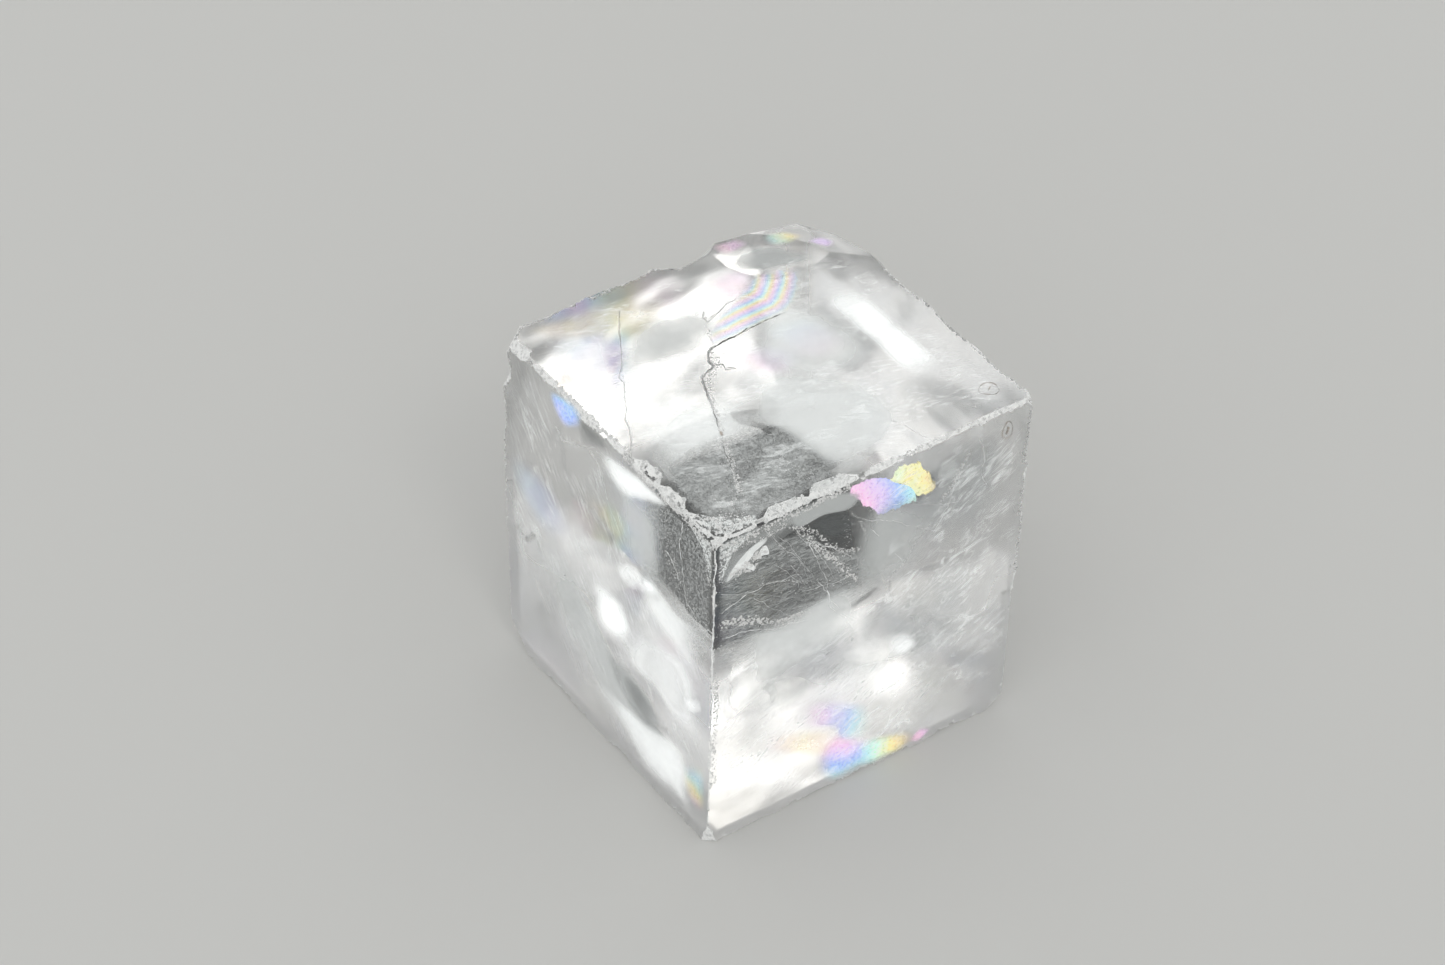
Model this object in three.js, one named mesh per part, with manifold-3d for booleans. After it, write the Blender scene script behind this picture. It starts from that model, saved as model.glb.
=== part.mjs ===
// Optical calcite: one clear cleavage rhombohedron that rests on a cleavage face.
//
// Frame, in millimetres: the origin is the centre of the resting face, +Z is up, and +X runs along the lower
// front edge. The blunt corner, where three obtuse angles meet, is the front left corner of the top face.
// A place in the crystal is given by its lengths along the three edge directions, [front, side, rise],
// counted from the lower front corner. Axis 0 is front, axis 1 is side and axis 2 is rise.

import * as THREE from "three";
import { ConvexGeometry } from "three/addons/geometries/ConvexGeometry.js";
import { mergeVertices } from "three/addons/utils/BufferGeometryUtils.js";
import Module from "manifold-3d";

const wasm = await Module();
wasm.setup();

// Driving dimensions
const frontLength = 29.0; // lower front edge, along +X
const sideLength = 27.7; // the other edge of the resting face
const riseLength = 32.0; // the four edges that climb from the resting face
const cleavageAngle = 101.92; // degrees, the obtuse angle of every calcite cleavage face
const rightStepDepth = 0.4; // thickness of the layer split off the foot of the right face
const backStepDepth = 0.35; // thickness of the layer split off the foot of the back face
const overhang = 2; // how far a cutter stands clear of the crystal

const crystalColour = 0xe9edee;
const chipSeed = 20147;

const size = [frontLength, sideLength, riseLength];
const [f, s, r] = size;

// Unit vectors along the edges. The rising edges make the acute angle with both others.
const obtuse = THREE.MathUtils.degToRad(cleavageAngle);
const frontWay = new THREE.Vector3(1, 0, 0);
const sideWay = new THREE.Vector3(Math.cos(obtuse), Math.sin(obtuse), 0);
const riseWay = (() => {
  const x = -Math.cos(obtuse);
  const y = (x - x * Math.cos(obtuse)) / Math.sin(obtuse);
  return new THREE.Vector3(x, y, Math.sqrt(1 - x * x - y * y));
})();
const ways = [frontWay, sideWay, riseWay];

// A point given by its lengths along the three edge directions, in the part's frame.
function at(front, side, rise) {
  return new THREE.Vector3()
    .addScaledVector(frontWay, front - frontLength / 2)
    .addScaledVector(sideWay, side - sideLength / 2)
    .addScaledVector(riseWay, rise);
}

const middle = at(f / 2, s / 2, r / 2);

function solidFrom(geometry) {
  const bare = geometry.clone();
  bare.deleteAttribute("normal");
  bare.deleteAttribute("uv");
  const merged = mergeVertices(bare, 1e-4);
  return new wasm.Manifold(
    new wasm.Mesh({
      numProp: 3,
      vertProperties: merged.attributes.position.array,
      triVerts: new Uint32Array(merged.index.array),
    }),
  );
}

function geometryFrom(solid) {
  const mesh = solid.getMesh();
  const geometry = new THREE.BufferGeometry();
  geometry.setAttribute("position", new THREE.BufferAttribute(mesh.vertProperties, 3));
  geometry.setIndex(new THREE.BufferAttribute(mesh.triVerts, 1));
  return geometry;
}

// Seeded random numbers, so that the crystal comes out the same each time.
let randomState = chipSeed;
function random(low = 0, high = 1) {
  randomState = (Math.imul(randomState, 1664525) + 1013904223) >>> 0;
  return low + (high - low) * (randomState / 2 ** 32);
}

// A block whose six sides are cleavage planes, from one corner to the opposite one.
function cleavageBlock(low, high) {
  const geometry = new THREE.BoxGeometry(1, 1, 1);
  const spans = ways.map((way, i) => way.clone().multiplyScalar(high[i] - low[i]));
  const centre = at(...high.map((value, i) => (value + low[i]) / 2));
  geometry.applyMatrix4(new THREE.Matrix4().makeBasis(...spans).setPosition(centre));
  return solidFrom(geometry);
}

// Everything beyond the plane through three points, on the side away from the crystal's middle.
function beyondPoints(a, b, c) {
  const reach = 40;
  const normal = new THREE.Plane().setFromCoplanarPoints(a, b, c).normal;
  if (normal.dot(middle.clone().sub(a)) > 0) normal.negate();
  const geometry = new THREE.BoxGeometry(reach, reach, reach);
  geometry.translate(0, 0, reach / 2);
  geometry.applyQuaternion(new THREE.Quaternion().setFromUnitVectors(new THREE.Vector3(0, 0, 1), normal));
  geometry.translate(a.x, a.y, a.z);
  return solidFrom(geometry);
}

// A layer split off a face. The outline runs along the face's two edges, in the order that turns outwards.
function splitLayer(corner, firstWay, secondWay, outline, depth) {
  const outward = new THREE.Vector3().crossVectors(firstWay, secondWay).normalize();
  const shape = new THREE.Shape(outline.map(([first, second]) => new THREE.Vector2(first, second)));
  const geometry = new THREE.ExtrudeGeometry(shape, { depth: depth + overhang, bevelEnabled: false });
  geometry.translate(0, 0, -depth);
  geometry.applyMatrix4(new THREE.Matrix4().makeBasis(firstWay, secondWay, outward).setPosition(corner));
  return solidFrom(geometry);
}

// Steps where a thin layer of the crystal split away and left a lower, parallel face.
function faceSteps() {
  const rightOutline = [
    [-overhang, -overhang],
    [19.2, -overhang],
    [17.8, 1.4],
    [13.4, 2.6],
    [9.6, 3.2],
    [6.9, 6.0],
    [3.4, 8.6],
    [1.6, 11.4],
    [-overhang, 13.4],
  ];
  const backOutline = [
    [-overhang, -overhang],
    [12.2, -overhang],
    [11.6, 2.4],
    [9.8, 3.9],
    [10.1, 5.6],
    [6.4, 7.3],
    [5.2, 8.6],
    [2.4, 8.1],
    [-overhang, 9.4],
  ];
  return [
    splitLayer(at(f, 0, 0), sideWay, riseWay, rightOutline, rightStepDepth),
    splitLayer(at(0, s, 0), riseWay, frontWay, backOutline, backStepDepth),
  ];
}

// The shallow scooped break behind the far corner of the top face.
function farScoop() {
  const scoop = { radius: 24.4, depth: 0.75, centre: [24.8, 27.2], facets: 18 };
  const geometry = new THREE.IcosahedronGeometry(scoop.radius, scoop.facets);
  const centre = at(...scoop.centre, r);
  geometry.translate(centre.x, centre.y, centre.z + scoop.radius - scoop.depth);
  return solidFrom(geometry);
}

// Corners that have broken away, each along one or more planes.
function cornerBreaks() {
  return [
    // the far corner of the top face
    beyondPoints(at(f - 9.0, s, r), at(f, s - 8.3, r), at(f, s, r - 2.1)),
    beyondPoints(at(f - 2.2, s, r), at(f, s - 4.6, r), at(f, s, r - 4.4)),
    // the three lower corners that show
    beyondPoints(at(0.9, 0, 0), at(0, 0.8, 0), at(0, 0, 2.4)),
    beyondPoints(at(f - 2.2, 0, 0), at(f, 1.8, 0), at(f, 0, 1.4)),
    beyondPoints(at(f - 0.7, 0, 0), at(f, 1.2, 0), at(f, 0, 5.5)),
    beyondPoints(at(0, s - 3.2, 0), at(1.9, s, 0), at(0, s, 3.0)),
    beyondPoints(at(0, s - 1.0, 0), at(1.0, s, 0), at(0, s, 5.6)),
    // the lower corner at the back
    beyondPoints(at(f - 2.6, s, 0), at(f, s - 2.1, 0), at(f, s, 2.4)),
    // the left corner of the top face
    beyondPoints(at(1.8, s, r), at(0, s - 1.4, r), at(0, s, r - 2.8)),
    beyondPoints(at(0.6, s, r), at(0, s - 0.7, r), at(0, s, r - 6.0)),
    // the blunt corner and the right corner of the top face
    beyondPoints(at(1.2, 0, r), at(0, 0.9, r), at(0, 0, r - 0.7)),
    beyondPoints(at(f - 0.9, 0, r), at(f, 0.9, r), at(f, 0, r - 1.1)),
  ];
}

// The twelve edges. Each starts at a corner and runs along one axis, with its own wear.
const edges = {
  frontTop: { start: [0, 0, r], along: 0, chips: 22, bite: 0.3 },
  leftTop: { start: [0, 0, r], along: 1, chips: 20, bite: 0.3 },
  backTop: { start: [0, s, r], along: 0, chips: 15, bite: 0.35 },
  rightTop: { start: [f, 0, r], along: 1, chips: 18, bite: 0.35 },
  nearRise: { start: [0, 0, 0], along: 2, chips: 16, bite: 0.2 },
  rightRise: { start: [f, 0, 0], along: 2, chips: 20, bite: 0.38 },
  leftRise: { start: [0, s, 0], along: 2, chips: 14, bite: 0.2 },
  farRise: { start: [f, s, 0], along: 2, chips: 13, bite: 0.5 },
  frontBase: { start: [0, 0, 0], along: 0, chips: 14, bite: 0.32 },
  leftBase: { start: [0, 0, 0], along: 1, chips: 14, bite: 0.32 },
  backBase: { start: [0, s, 0], along: 0, chips: 12, bite: 0.45 },
  rightBase: { start: [f, 0, 0], along: 1, chips: 12, bite: 0.45 },
};

// The axes across an edge, each with the sign that leads outwards.
function acrossEdge(edge) {
  return [0, 1, 2].filter((i) => i !== edge.along).map((i) => ({ axis: i, out: edge.start[i] === 0 ? -1 : 1 }));
}

// A point beside an edge, moved inwards along the two axes across it.
function besideEdge(edge, place, inwards) {
  const point = [...edge.start];
  point[edge.along] = place;
  acrossEdge(edge).forEach(({ axis, out }, i) => {
    point[axis] -= out * inwards[i];
  });
  return at(...point);
}

// A long flake off an edge. The two depths are its reach over the faces on either side of the edge. The
// cutter runs on past both faces, so that it crosses them cleanly.
function flake(edge, from, to, depths) {
  const past = 0.35;
  const clear = -1.5;
  const early = 0.3;
  const late = 0.72;
  const place = (share) => from + (to - from) * share;
  const [first, second] = depths;
  const overFirst = (share, reach) => besideEdge(edge, place(share), [reach * first * (1 + past), -past * second]);
  const overSecond = (share, reach) => besideEdge(edge, place(share), [-past * first, reach * second * (1 + past)]);
  const points = [
    besideEdge(edge, from, [-0.03, -0.05]),
    besideEdge(edge, to, [-0.05, -0.03]),
    overFirst(early, 1),
    overFirst(late, 0.85),
    overSecond(early + 0.08, 1),
    overSecond(late - 0.06, 0.9),
    besideEdge(edge, place(early), [clear, clear]),
    besideEdge(edge, place(late), [clear, clear]),
  ];
  return solidFrom(new ConvexGeometry(points));
}

// The flakes large enough to show on their own: edge, start, end, and reach over each face.
function largeFlakes() {
  return [
    [edges.frontTop, 0.4, 4.6, [0.95, 0.3]],
    [edges.frontTop, 3.6, 9.4, [1.0, 0.26]],
    [edges.frontTop, 7.8, 13.6, [1.25, 0.3]],
    [edges.frontTop, 13.0, 17.2, [0.45, 0.4]],
    [edges.frontTop, 16.6, 22.8, [0.3, 0.3]],
    [edges.frontTop, 22.2, 28.6, [0.35, 0.25]],
    [edges.leftTop, 0.4, 4.4, [0.8, 0.25]],
    [edges.leftTop, 3.6, 7.8, [0.85, 0.75]],
    [edges.leftTop, 6.8, 11.2, [1.1, 0.7]],
    [edges.leftTop, 10.6, 14.6, [0.4, 0.35]],
    [edges.leftTop, 14.0, 20.4, [0.35, 0.75]],
    [edges.leftTop, 19.6, 24.4, [0.4, 0.4]],
    [edges.leftTop, 23.6, s, [0.7, 0.8]],
    [edges.leftRise, 26.6, 31.6, [0.9, 1.2]],
    [edges.leftRise, 21.0, 27.2, [0.4, 0.4]],
    [edges.backTop, 13.6, 20.4, [1.25, 1.35]],
    [edges.backTop, 9.0, 14.6, [0.35, 0.5]],
    [edges.backTop, 1.0, 8.6, [0.3, 0.4]],
    [edges.rightTop, 1.4, 7.4, [0.4, 0.6]],
    [edges.rightTop, 6.8, 13.0, [0.35, 0.8]],
    [edges.rightTop, 12.4, 20.0, [0.4, 0.5]],
    [edges.rightRise, 24.6, 30.4, [0.3, 0.5]],
    [edges.rightRise, 10.4, 15.0, [0.5, 0.4]],
    [edges.leftBase, 9.6, 13.4, [0.7, 0.55]],
    [edges.leftBase, 17.0, 23.5, [0.5, 0.45]],
    [edges.frontBase, 8.4, 13.0, [0.6, 0.35]],
    [edges.frontBase, 20.5, 26.0, [0.6, 0.4]],
    [edges.farRise, 3.0, 11.0, [0.9, 0.7]],
    [edges.farRise, 14.0, 22.0, [0.6, 1.0]],
    [edges.rightBase, 4.0, 10.0, [0.7, 0.6]],
    [edges.backBase, 12.0, 19.0, [0.6, 0.8]],
  ].map(([edge, from, to, depths]) => flake(edge, from, to, depths));
}

// A stair-step chip: a small cleavage block that bites into both faces of an edge.
function stepChip(edge, place, bite) {
  const halfLength = random(0.3, 1.5);
  const low = [...edge.start];
  const high = [...edge.start];
  low[edge.along] = place - halfLength;
  high[edge.along] = place + halfLength;
  acrossEdge(edge).forEach(({ axis, out }) => {
    const depth = bite * random(0.3, 1.0);
    low[axis] -= out > 0 ? depth : overhang;
    high[axis] += out > 0 ? overhang : depth;
  });
  return cleavageBlock(low, high);
}

// A flake chip of random length and reach.
function flakeChip(edge, place, bite) {
  const halfLength = random(0.5, 2.2);
  const length = size[edge.along];
  const from = Math.max(0.1, place - halfLength);
  const to = Math.min(length - 0.1, place + halfLength);
  return flake(edge, from, to, [bite * random(0.4, 1.3), bite * random(0.4, 1.3)]);
}

function edgeChips(edge) {
  const length = size[edge.along];
  return Array.from({ length: edge.chips }, (_, i) => {
    const place = (length * (i + random(0.1, 0.9))) / edge.chips;
    const bite = edge.bite * random(0.35, 1.0);
    return random() < 0.4 ? stepChip(edge, place, bite) : flakeChip(edge, place, bite);
  });
}

// Small loose crumbs left by the cuts are dropped, and the crystal itself is kept.
function calciteSolid() {
  const smallChips = Object.values(edges).flatMap(edgeChips);
  const cutters = [...faceSteps(), farScoop(), ...cornerBreaks(), ...largeFlakes(), ...smallChips];
  const whole = cleavageBlock([0, 0, 0], size);
  const cut = cutters.reduce((body, cutter) => body.subtract(cutter), whole);
  return cut.decompose().sort((a, b) => b.volume() - a.volume())[0];
}

function calciteCrystal() {
  const material = new THREE.MeshStandardMaterial({ color: crystalColour, roughness: 0.08, metalness: 0 });
  const mesh = new THREE.Mesh(geometryFrom(calciteSolid()), material);
  mesh.name = "calcite_crystal";
  return mesh;
}

const part = new THREE.Group();
part.add(calciteCrystal());

export default part;
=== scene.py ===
import math
import random

import bmesh
import bpy
from mathutils import Matrix, Vector
from mathutils.bvhtree import BVHTree


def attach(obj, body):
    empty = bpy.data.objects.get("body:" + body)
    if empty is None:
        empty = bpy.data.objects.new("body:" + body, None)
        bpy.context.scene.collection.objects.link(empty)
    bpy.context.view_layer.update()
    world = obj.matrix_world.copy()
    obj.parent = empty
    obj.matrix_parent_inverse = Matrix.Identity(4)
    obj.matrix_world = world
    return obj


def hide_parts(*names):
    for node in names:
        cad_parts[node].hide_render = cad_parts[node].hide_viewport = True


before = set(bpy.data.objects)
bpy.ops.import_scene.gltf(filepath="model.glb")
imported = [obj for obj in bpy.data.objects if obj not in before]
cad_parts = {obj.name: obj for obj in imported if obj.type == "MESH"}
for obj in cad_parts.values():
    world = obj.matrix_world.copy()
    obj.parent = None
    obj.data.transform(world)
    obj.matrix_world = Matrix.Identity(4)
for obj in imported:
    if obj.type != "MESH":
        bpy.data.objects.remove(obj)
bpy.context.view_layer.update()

mm = 0.001
scene = bpy.context.scene

# the rhomb that the crystal split along, in mm
rhomb = {
    "frontLength": 29.0,
    "sideLength": 27.7,
    "riseLength": 32.0,
    "cleavageAngle": 101.92,  # degrees, the blunt angle of every face
}


def rhombWays():
    obtuse = math.radians(rhomb["cleavageAngle"])
    x = -math.cos(obtuse)
    y = (x - x * math.cos(obtuse)) / math.sin(obtuse)
    side = Vector((math.cos(obtuse), math.sin(obtuse), 0))
    return [Vector((1, 0, 0)), side, Vector((x, y, math.sqrt(1 - x * x - y * y)))]


ways = rhombWays()
sizes = [rhomb["frontLength"], rhomb["sideLength"], rhomb["riseLength"]]
normals = [  # outwards from the right, back and top faces; left, front and base are their opposites
    ways[1].cross(ways[2]).normalized(),
    ways[2].cross(ways[0]).normalized(),
    ways[0].cross(ways[1]).normalized(),
]


def at(front, side, rise):
    # a place in metres, from its lengths in mm along the three edge directions
    return (ways[0] * (front - sizes[0] / 2) + ways[1] * (side - sizes[1] / 2) + ways[2] * rise) * mm


# each face's two in-plane directions, the direction it faces, and whether it is the far one of its pair
faceWays = {
    "top": (0, 1, 2, True),
    "base": (0, 1, 2, False),
    "front": (0, 2, 1, False),
    "back": (0, 2, 1, True),
    "left": (1, 2, 0, False),
    "right": (1, 2, 0, True),
}


def outward(face):
    through, far = faceWays[face][2:]
    return normals[through] if far else -normals[through]


def onFace(face, a, b, depth=0.0):
    # a place on a face, from its lengths in mm along the face's two edges and its depth in mm
    first, second, through, far = faceWays[face]
    place = [0, 0, 0]
    place[first], place[second], place[through] = a, b, sizes[through] if far else 0
    return at(*place) - outward(face) * depth * mm


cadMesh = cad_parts["calcite_crystal"].data
skin = BVHTree.FromPolygons([vertex.co for vertex in cadMesh.vertices],
                            [face.vertices for face in cadMesh.polygons])
skinReach = 2.5  # mm that the true surface may lie below the face's own plane


def onSkin(face, a, b, depth=0.0):
    # the same, but measured from the true surface, which is lower in the steps and the scooped break
    way = outward(face)
    hit = skin.ray_cast(onFace(face, a, b, -skinReach), -way, 2 * skinReach * mm)[0]
    return hit - way * depth * mm if hit else onFace(face, a, b, depth)


def newObject(name, mesh):
    thing = bpy.data.objects.new(name, mesh)
    scene.collection.objects.link(thing)
    return thing


def feed(tree, socket, value):
    if isinstance(value, bpy.types.NodeSocket):
        tree.links.new(value, socket)
    else:
        socket.default_value = value


def addNode(tree, kind, inputs=None, **settings):
    item = tree.nodes.new(kind)
    for key, value in settings.items():
        setattr(item, key, value)
    for key, value in (inputs or {}).items():
        feed(tree, item.inputs[key], value)
    return item


def math2(tree, operation, a, b=0.0):
    return addNode(tree, "ShaderNodeMath", {0: a, 1: b}, operation=operation).outputs[0]


def chain(tree, operation, values):
    # the same operation over any number of values, from the first to the last
    total = values[0]
    for value in values[1:]:
        total = math2(tree, operation, total, value)
    return total


def plus(tree, *values):
    return chain(tree, "ADD", values)


def times(tree, *values):
    return chain(tree, "MULTIPLY", values)


def highest(tree, *values):
    return chain(tree, "MAXIMUM", values)


def minus(tree, a, b):
    return math2(tree, "SUBTRACT", a, b)


def above(tree, a, b):
    return math2(tree, "GREATER_THAN", a, b)


def below(tree, a, b):
    return math2(tree, "LESS_THAN", a, b)


def vector2(tree, operation, a, b):
    return addNode(tree, "ShaderNodeVectorMath", {0: a, 1: b}, operation=operation).outputs[0]


def scaled(tree, vector, amount):
    return addNode(tree, "ShaderNodeVectorMath", {0: vector, "Scale": amount}, operation="SCALE").outputs[0]


def dotOf(tree, a, b):
    return addNode(tree, "ShaderNodeVectorMath", {0: a, 1: b}, operation="DOT_PRODUCT").outputs["Value"]


def joined(tree, x=0.0, y=0.0, z=0.0):
    return addNode(tree, "ShaderNodeCombineXYZ", {0: x, 1: y, 2: z}).outputs[0]


def noiseAt(tree, place, scale, detail, more=None):
    # a noise texture's height; more gives other inputs by their names
    inputs = {"Vector": place, "Scale": scale, "Detail": detail, **(more or {})}
    return addNode(tree, "ShaderNodeTexNoise", inputs).outputs["Fac"]


def ramp(tree, value, low, high, fromValue=0.0, toValue=1.0):
    # rises smoothly from fromValue at low to toValue at high; low may be the larger
    flip = low > high
    node = addNode(tree, "ShaderNodeMapRange", {
        "Value": value,
        "From Min": high if flip else low,
        "From Max": low if flip else high,
        "To Min": toValue if flip else fromValue,
        "To Max": fromValue if flip else toValue,
    }, interpolation_type="SMOOTHSTEP")
    return node.outputs["Result"]


def stray(tree, place, scale, reach, detail):
    # a noise that wanders about nought
    return times(tree, minus(tree, noiseAt(tree, place, scale, detail), 0.5), reach)


def mixColour(tree, factor, a, b):
    return addNode(tree, "ShaderNodeMix", {0: factor, 6: a, 7: b}, data_type="RGBA").outputs[2]


def objectPlace(tree):
    return addNode(tree, "ShaderNodeTexCoord").outputs["Object"]


def newMaterial(name, values):
    # a principled material with these plain values; gives its tree and the shader's inputs too
    material = bpy.data.materials.new(name)
    material.use_nodes = True
    inputs = material.node_tree.nodes["Principled BSDF"].inputs
    for label, value in values.items():
        inputs[label].default_value = value
    return material, material.node_tree, inputs


def addBump(tree, inputs, strength, distance, height):
    bump = addNode(tree, "ShaderNodeBump", {"Strength": strength, "Distance": distance, "Height": height})
    feed(tree, inputs["Normal"], bump.outputs["Normal"])


def takeMesh(bm, name):
    # what was built, as a new mesh
    mesh = bpy.data.meshes.new(name)
    bm.to_mesh(mesh)
    bm.free()
    return mesh


def newTree(name, inputs):
    # a Geometry Nodes tree with a Geometry input and output, and one named input for each entry
    kinds = {
        float: "NodeSocketFloat",
        int: "NodeSocketInt",
        tuple: "NodeSocketVector",
        type(None): "NodeSocketObject",
    }
    tree = bpy.data.node_groups.new(name, "GeometryNodeTree")
    tree.interface.new_socket("Geometry", in_out="INPUT", socket_type="NodeSocketGeometry")
    for label, value in inputs.items():
        socket = tree.interface.new_socket(label, in_out="INPUT", socket_type=kinds[type(value)])
        if value is not None:
            socket.default_value = value
    tree.interface.new_socket("Geometry", in_out="OUTPUT", socket_type="NodeSocketGeometry")
    return tree, addNode(tree, "NodeGroupInput").outputs, addNode(tree, "NodeGroupOutput").inputs


def growMesh(source, tree, values, name):
    # runs the tree on the source object and returns the result as a plain mesh
    modifier = source.modifiers.new(tree.name, "NODES")
    modifier.node_group = tree
    for item in tree.interface.items_tree:
        if item.in_out == "INPUT" and item.name in values:
            modifier[item.identifier] = values[item.name]
    bpy.context.view_layer.update()
    evaluated = source.evaluated_get(bpy.context.evaluated_depsgraph_get())
    mesh = bpy.data.meshes.new_from_object(evaluated)
    mesh.name = name
    source.modifiers.remove(modifier)
    return mesh



def shapeOf(tree, thing, asInstance):
    info = addNode(tree, "GeometryNodeObjectInfo", {"Object": thing, "As Instance": asInstance})
    return info.outputs["Geometry"]


def resampled(tree, curve, spacing):
    inputs = {"Curve": curve, "Length": spacing}
    return addNode(tree, "GeometryNodeResampleCurve", inputs, mode="LENGTH").outputs[0]


def instances(tree, points, shape, scale, rotation=None):
    inputs = {"Points": points, "Instance": shape, "Scale": scale}
    if rotation is not None:
        inputs["Rotation"] = rotation
    return addNode(tree, "GeometryNodeInstanceOnPoints", inputs).outputs[0]


def endTree(tree, end, geometry, material):
    # realizes what was grown and gives it its material
    real = addNode(tree, "GeometryNodeRealizeInstances", {"Geometry": geometry}).outputs[0]
    done = addNode(tree, "GeometryNodeSetMaterial", {"Geometry": real, "Material": material}).outputs[0]
    feed(tree, end["Geometry"], done)


camera = {
    "place": (-57.742, -125.656, 223.695),  # mm
    "looks": (0.23575935, 0.5277195, -0.81604513),
    "roll": 4.394,  # degrees
    "lens": 74.74,
    "sensorWidth": 36,
    "clipStart": 0.01,  # m
}

looks = Vector(camera["looks"]).normalized()
levelRight = looks.cross(Vector((0, 0, 1))).normalized()
levelUp = levelRight.cross(looks)
roll = math.radians(camera["roll"])
cameraUp = levelUp * math.cos(roll) + levelRight * math.sin(roll)
cameraRight = levelRight * math.cos(roll) - levelUp * math.sin(roll)
cameraPose = Matrix((cameraRight, cameraUp, -looks)).transposed().to_4x4()
cameraPose.translation = Vector(camera["place"]) * mm

cameraData = bpy.data.cameras.new("camera")
cameraData.lens = camera["lens"]
cameraData.sensor_width = camera["sensorWidth"]
cameraData.clip_start = camera["clipStart"]
scene.camera = newObject("camera", cameraData)
scene.camera.matrix_world = cameraPose

floorLook = {
    "halfWidth": 2.0,  # m
    "drop": 0.05,  # mm below the crystal, so that the two never share a plane
    "roughness": 0.8,
    "specular": 0.1,
    "pale": (0.66, 0.66, 0.65, 1),
    "paintedShade": (0.05, 0.055, 0.056, 1),  # painted shade: the dark that rays through the crystal see on the floor close behind it
    "paintedShadeCentre": (7.0, 15.0),  # mm
    "paintedShadeReach": (15.0, 21.0),  # mm, where it starts to fade and where it has gone
}


def makeFloor():
    bm = bmesh.new()
    bmesh.ops.create_grid(bm, x_segments=1, y_segments=1, size=floorLook["halfWidth"])
    bmesh.ops.translate(bm, verts=bm.verts, vec=(0, 0, -floorLook["drop"] * mm))
    mesh = takeMesh(bm, "floor")
    material, tree, inputs = newMaterial("paleFloor", {
        "Roughness": floorLook["roughness"],
        "Specular IOR Level": floorLook["specular"],
    })
    centre = Vector((*floorLook["paintedShadeCentre"], 0)) * mm
    away = addNode(tree, "ShaderNodeVectorMath", {0: objectPlace(tree), 1: centre}, operation="DISTANCE")
    close, far = floorLook["paintedShadeReach"]
    near = ramp(tree, away.outputs["Value"], far * mm, close * mm)
    # painted shade: the floor turns dark where it is seen through the crystal, near its foot
    through = addNode(tree, "ShaderNodeLightPath").outputs["Is Transmission Ray"]
    tone = mixColour(tree, times(tree, through, near), floorLook["pale"], floorLook["paintedShade"])
    feed(tree, inputs["Base Color"], tone)
    mesh.materials.append(material)
    newObject("floor", mesh)


makeFloor()

sky = {
    "cool": (0.93, 0.97, 1.0, 1),
    "warm": (1.0, 0.97, 0.91, 1),
    "strength": 0.8,
    "lobes": [  # direction, full and no strength in degrees away from it, colour, strength
        [(0.15, -0.53, 0.835), 3, 12, (1.0, 0.97, 0.92), 2.3],
        [(-0.28, 0.4, 0.87), 5, 13, (1.0, 1.0, 0.98), 0.4],
    ],
    "clouds": (5.0, 0.34),  # scale and strength of the soft unevenness
    "tints": (6.5, 0.6),  # scale and distortion of the drift between cool and warm
    "contrast": (0.35, 0.65),  # noise values where both start and end
}


def makeSky():
    world = bpy.data.worlds.new("studio")
    scene.world = world
    world.use_nodes = True
    tree = world.node_tree
    way = addNode(tree, "ShaderNodeTexCoord").outputs["Generated"]
    scale, depth = sky["clouds"]
    levels = (sky["strength"] - depth / 2, sky["strength"] + depth / 2)
    uneven = ramp(tree, noiseAt(tree, way, scale, 2.0), *sky["contrast"], *levels)
    scale, distortion = sky["tints"]
    tint = noiseAt(tree, way, scale, 1.0, {"Distortion": distortion})
    base = mixColour(tree, ramp(tree, tint, *sky["contrast"]), sky["cool"], sky["warm"])
    total = scaled(tree, base, uneven)
    for aim, full, none, colour, strength in sky["lobes"]:
        angle = math2(tree, "ARCCOSINE", dotOf(tree, way, Vector(aim).normalized()))
        mask = ramp(tree, angle, math.radians(none), math.radians(full))
        total = vector2(tree, "ADD", total, scaled(tree, [part * strength for part in colour], mask))
    feed(tree, tree.nodes["Background"].inputs["Color"], total)


makeSky()
print("camera, floor and light made")

body = {  # the crystal itself; roughness and painted glow have no unit
    "ior": 1.6,
    "clearTint": (0.99, 0.992, 0.988, 1),
    "polish": 0.03,  # roughness of the clear skin
    "rubbed": 0.3,  # roughness added low down on the two near faces
    "rubbedHeight": (24.0, 8.0),  # mm up, where that starts and where it is full
    "rubbedWander": (90.0, 12.0),  # noise scale, and mm that its border wanders
    "nearSkin": (2.0, 1.5),  # mm from a near face's plane, outside it and on it
    "farHaze": 0.09,  # roughness of the base and the two far faces
    "farSkins": {"Side": (25.0, 26.0), "Front": (26.0, 27.0), "Rise": (1.5, 0.8)},  # mm, inside and on them
    "ripple": (120.0, 0.3),  # noise scale and height in mm of the waves in the far faces
    "windowHaze": 0.3,  # roughness of the skin round the three clear windows at the blunt corner
    "windowReach": (2.6, 0.1),  # mm from a border, where the haze ends and where it is full
    "windows": [  # the skin they are on, and their borders: rises per mm along the edges, and an offset
        ("Rise", 30.0, 31.0, [(1.0, 0.0, 0.0, -13.4), (0.09, 1.0, 0.0, -10.3)]),
        ("Rise", 30.0, 31.0, [(0.81, -0.58, 0.0, -6.32), (0.0, -1.0, 0.0, 10.0)]),
        ("Front", 2.0, 1.5, [(0.0, 1.0, 0.0, -7.8), (0.0, 0.49, -1.0, 19.2)]),
        ("Side", 2.0, 1.5, [(1.0, 0.0, 0.19, -18.4), (0.0, 0.0, -1.0, 19.9)]),
    ],
    "breakPaintedGlow": 0.05,  # painted glow: emission that brightens the frosted breaks
    "breakClear": 0.15,  # share of light that they let through
    "breakTones": [(0.88, 0.9, 0.89, 1), (1, 1, 1, 1)],
    "breakRoughness": (0.25, 0.55),
    "breakGrain": (3200.0, 4.0),  # noise scale and detail
    "breakBump": (0.7, 0.06),  # strength, and height in mm
}


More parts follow.
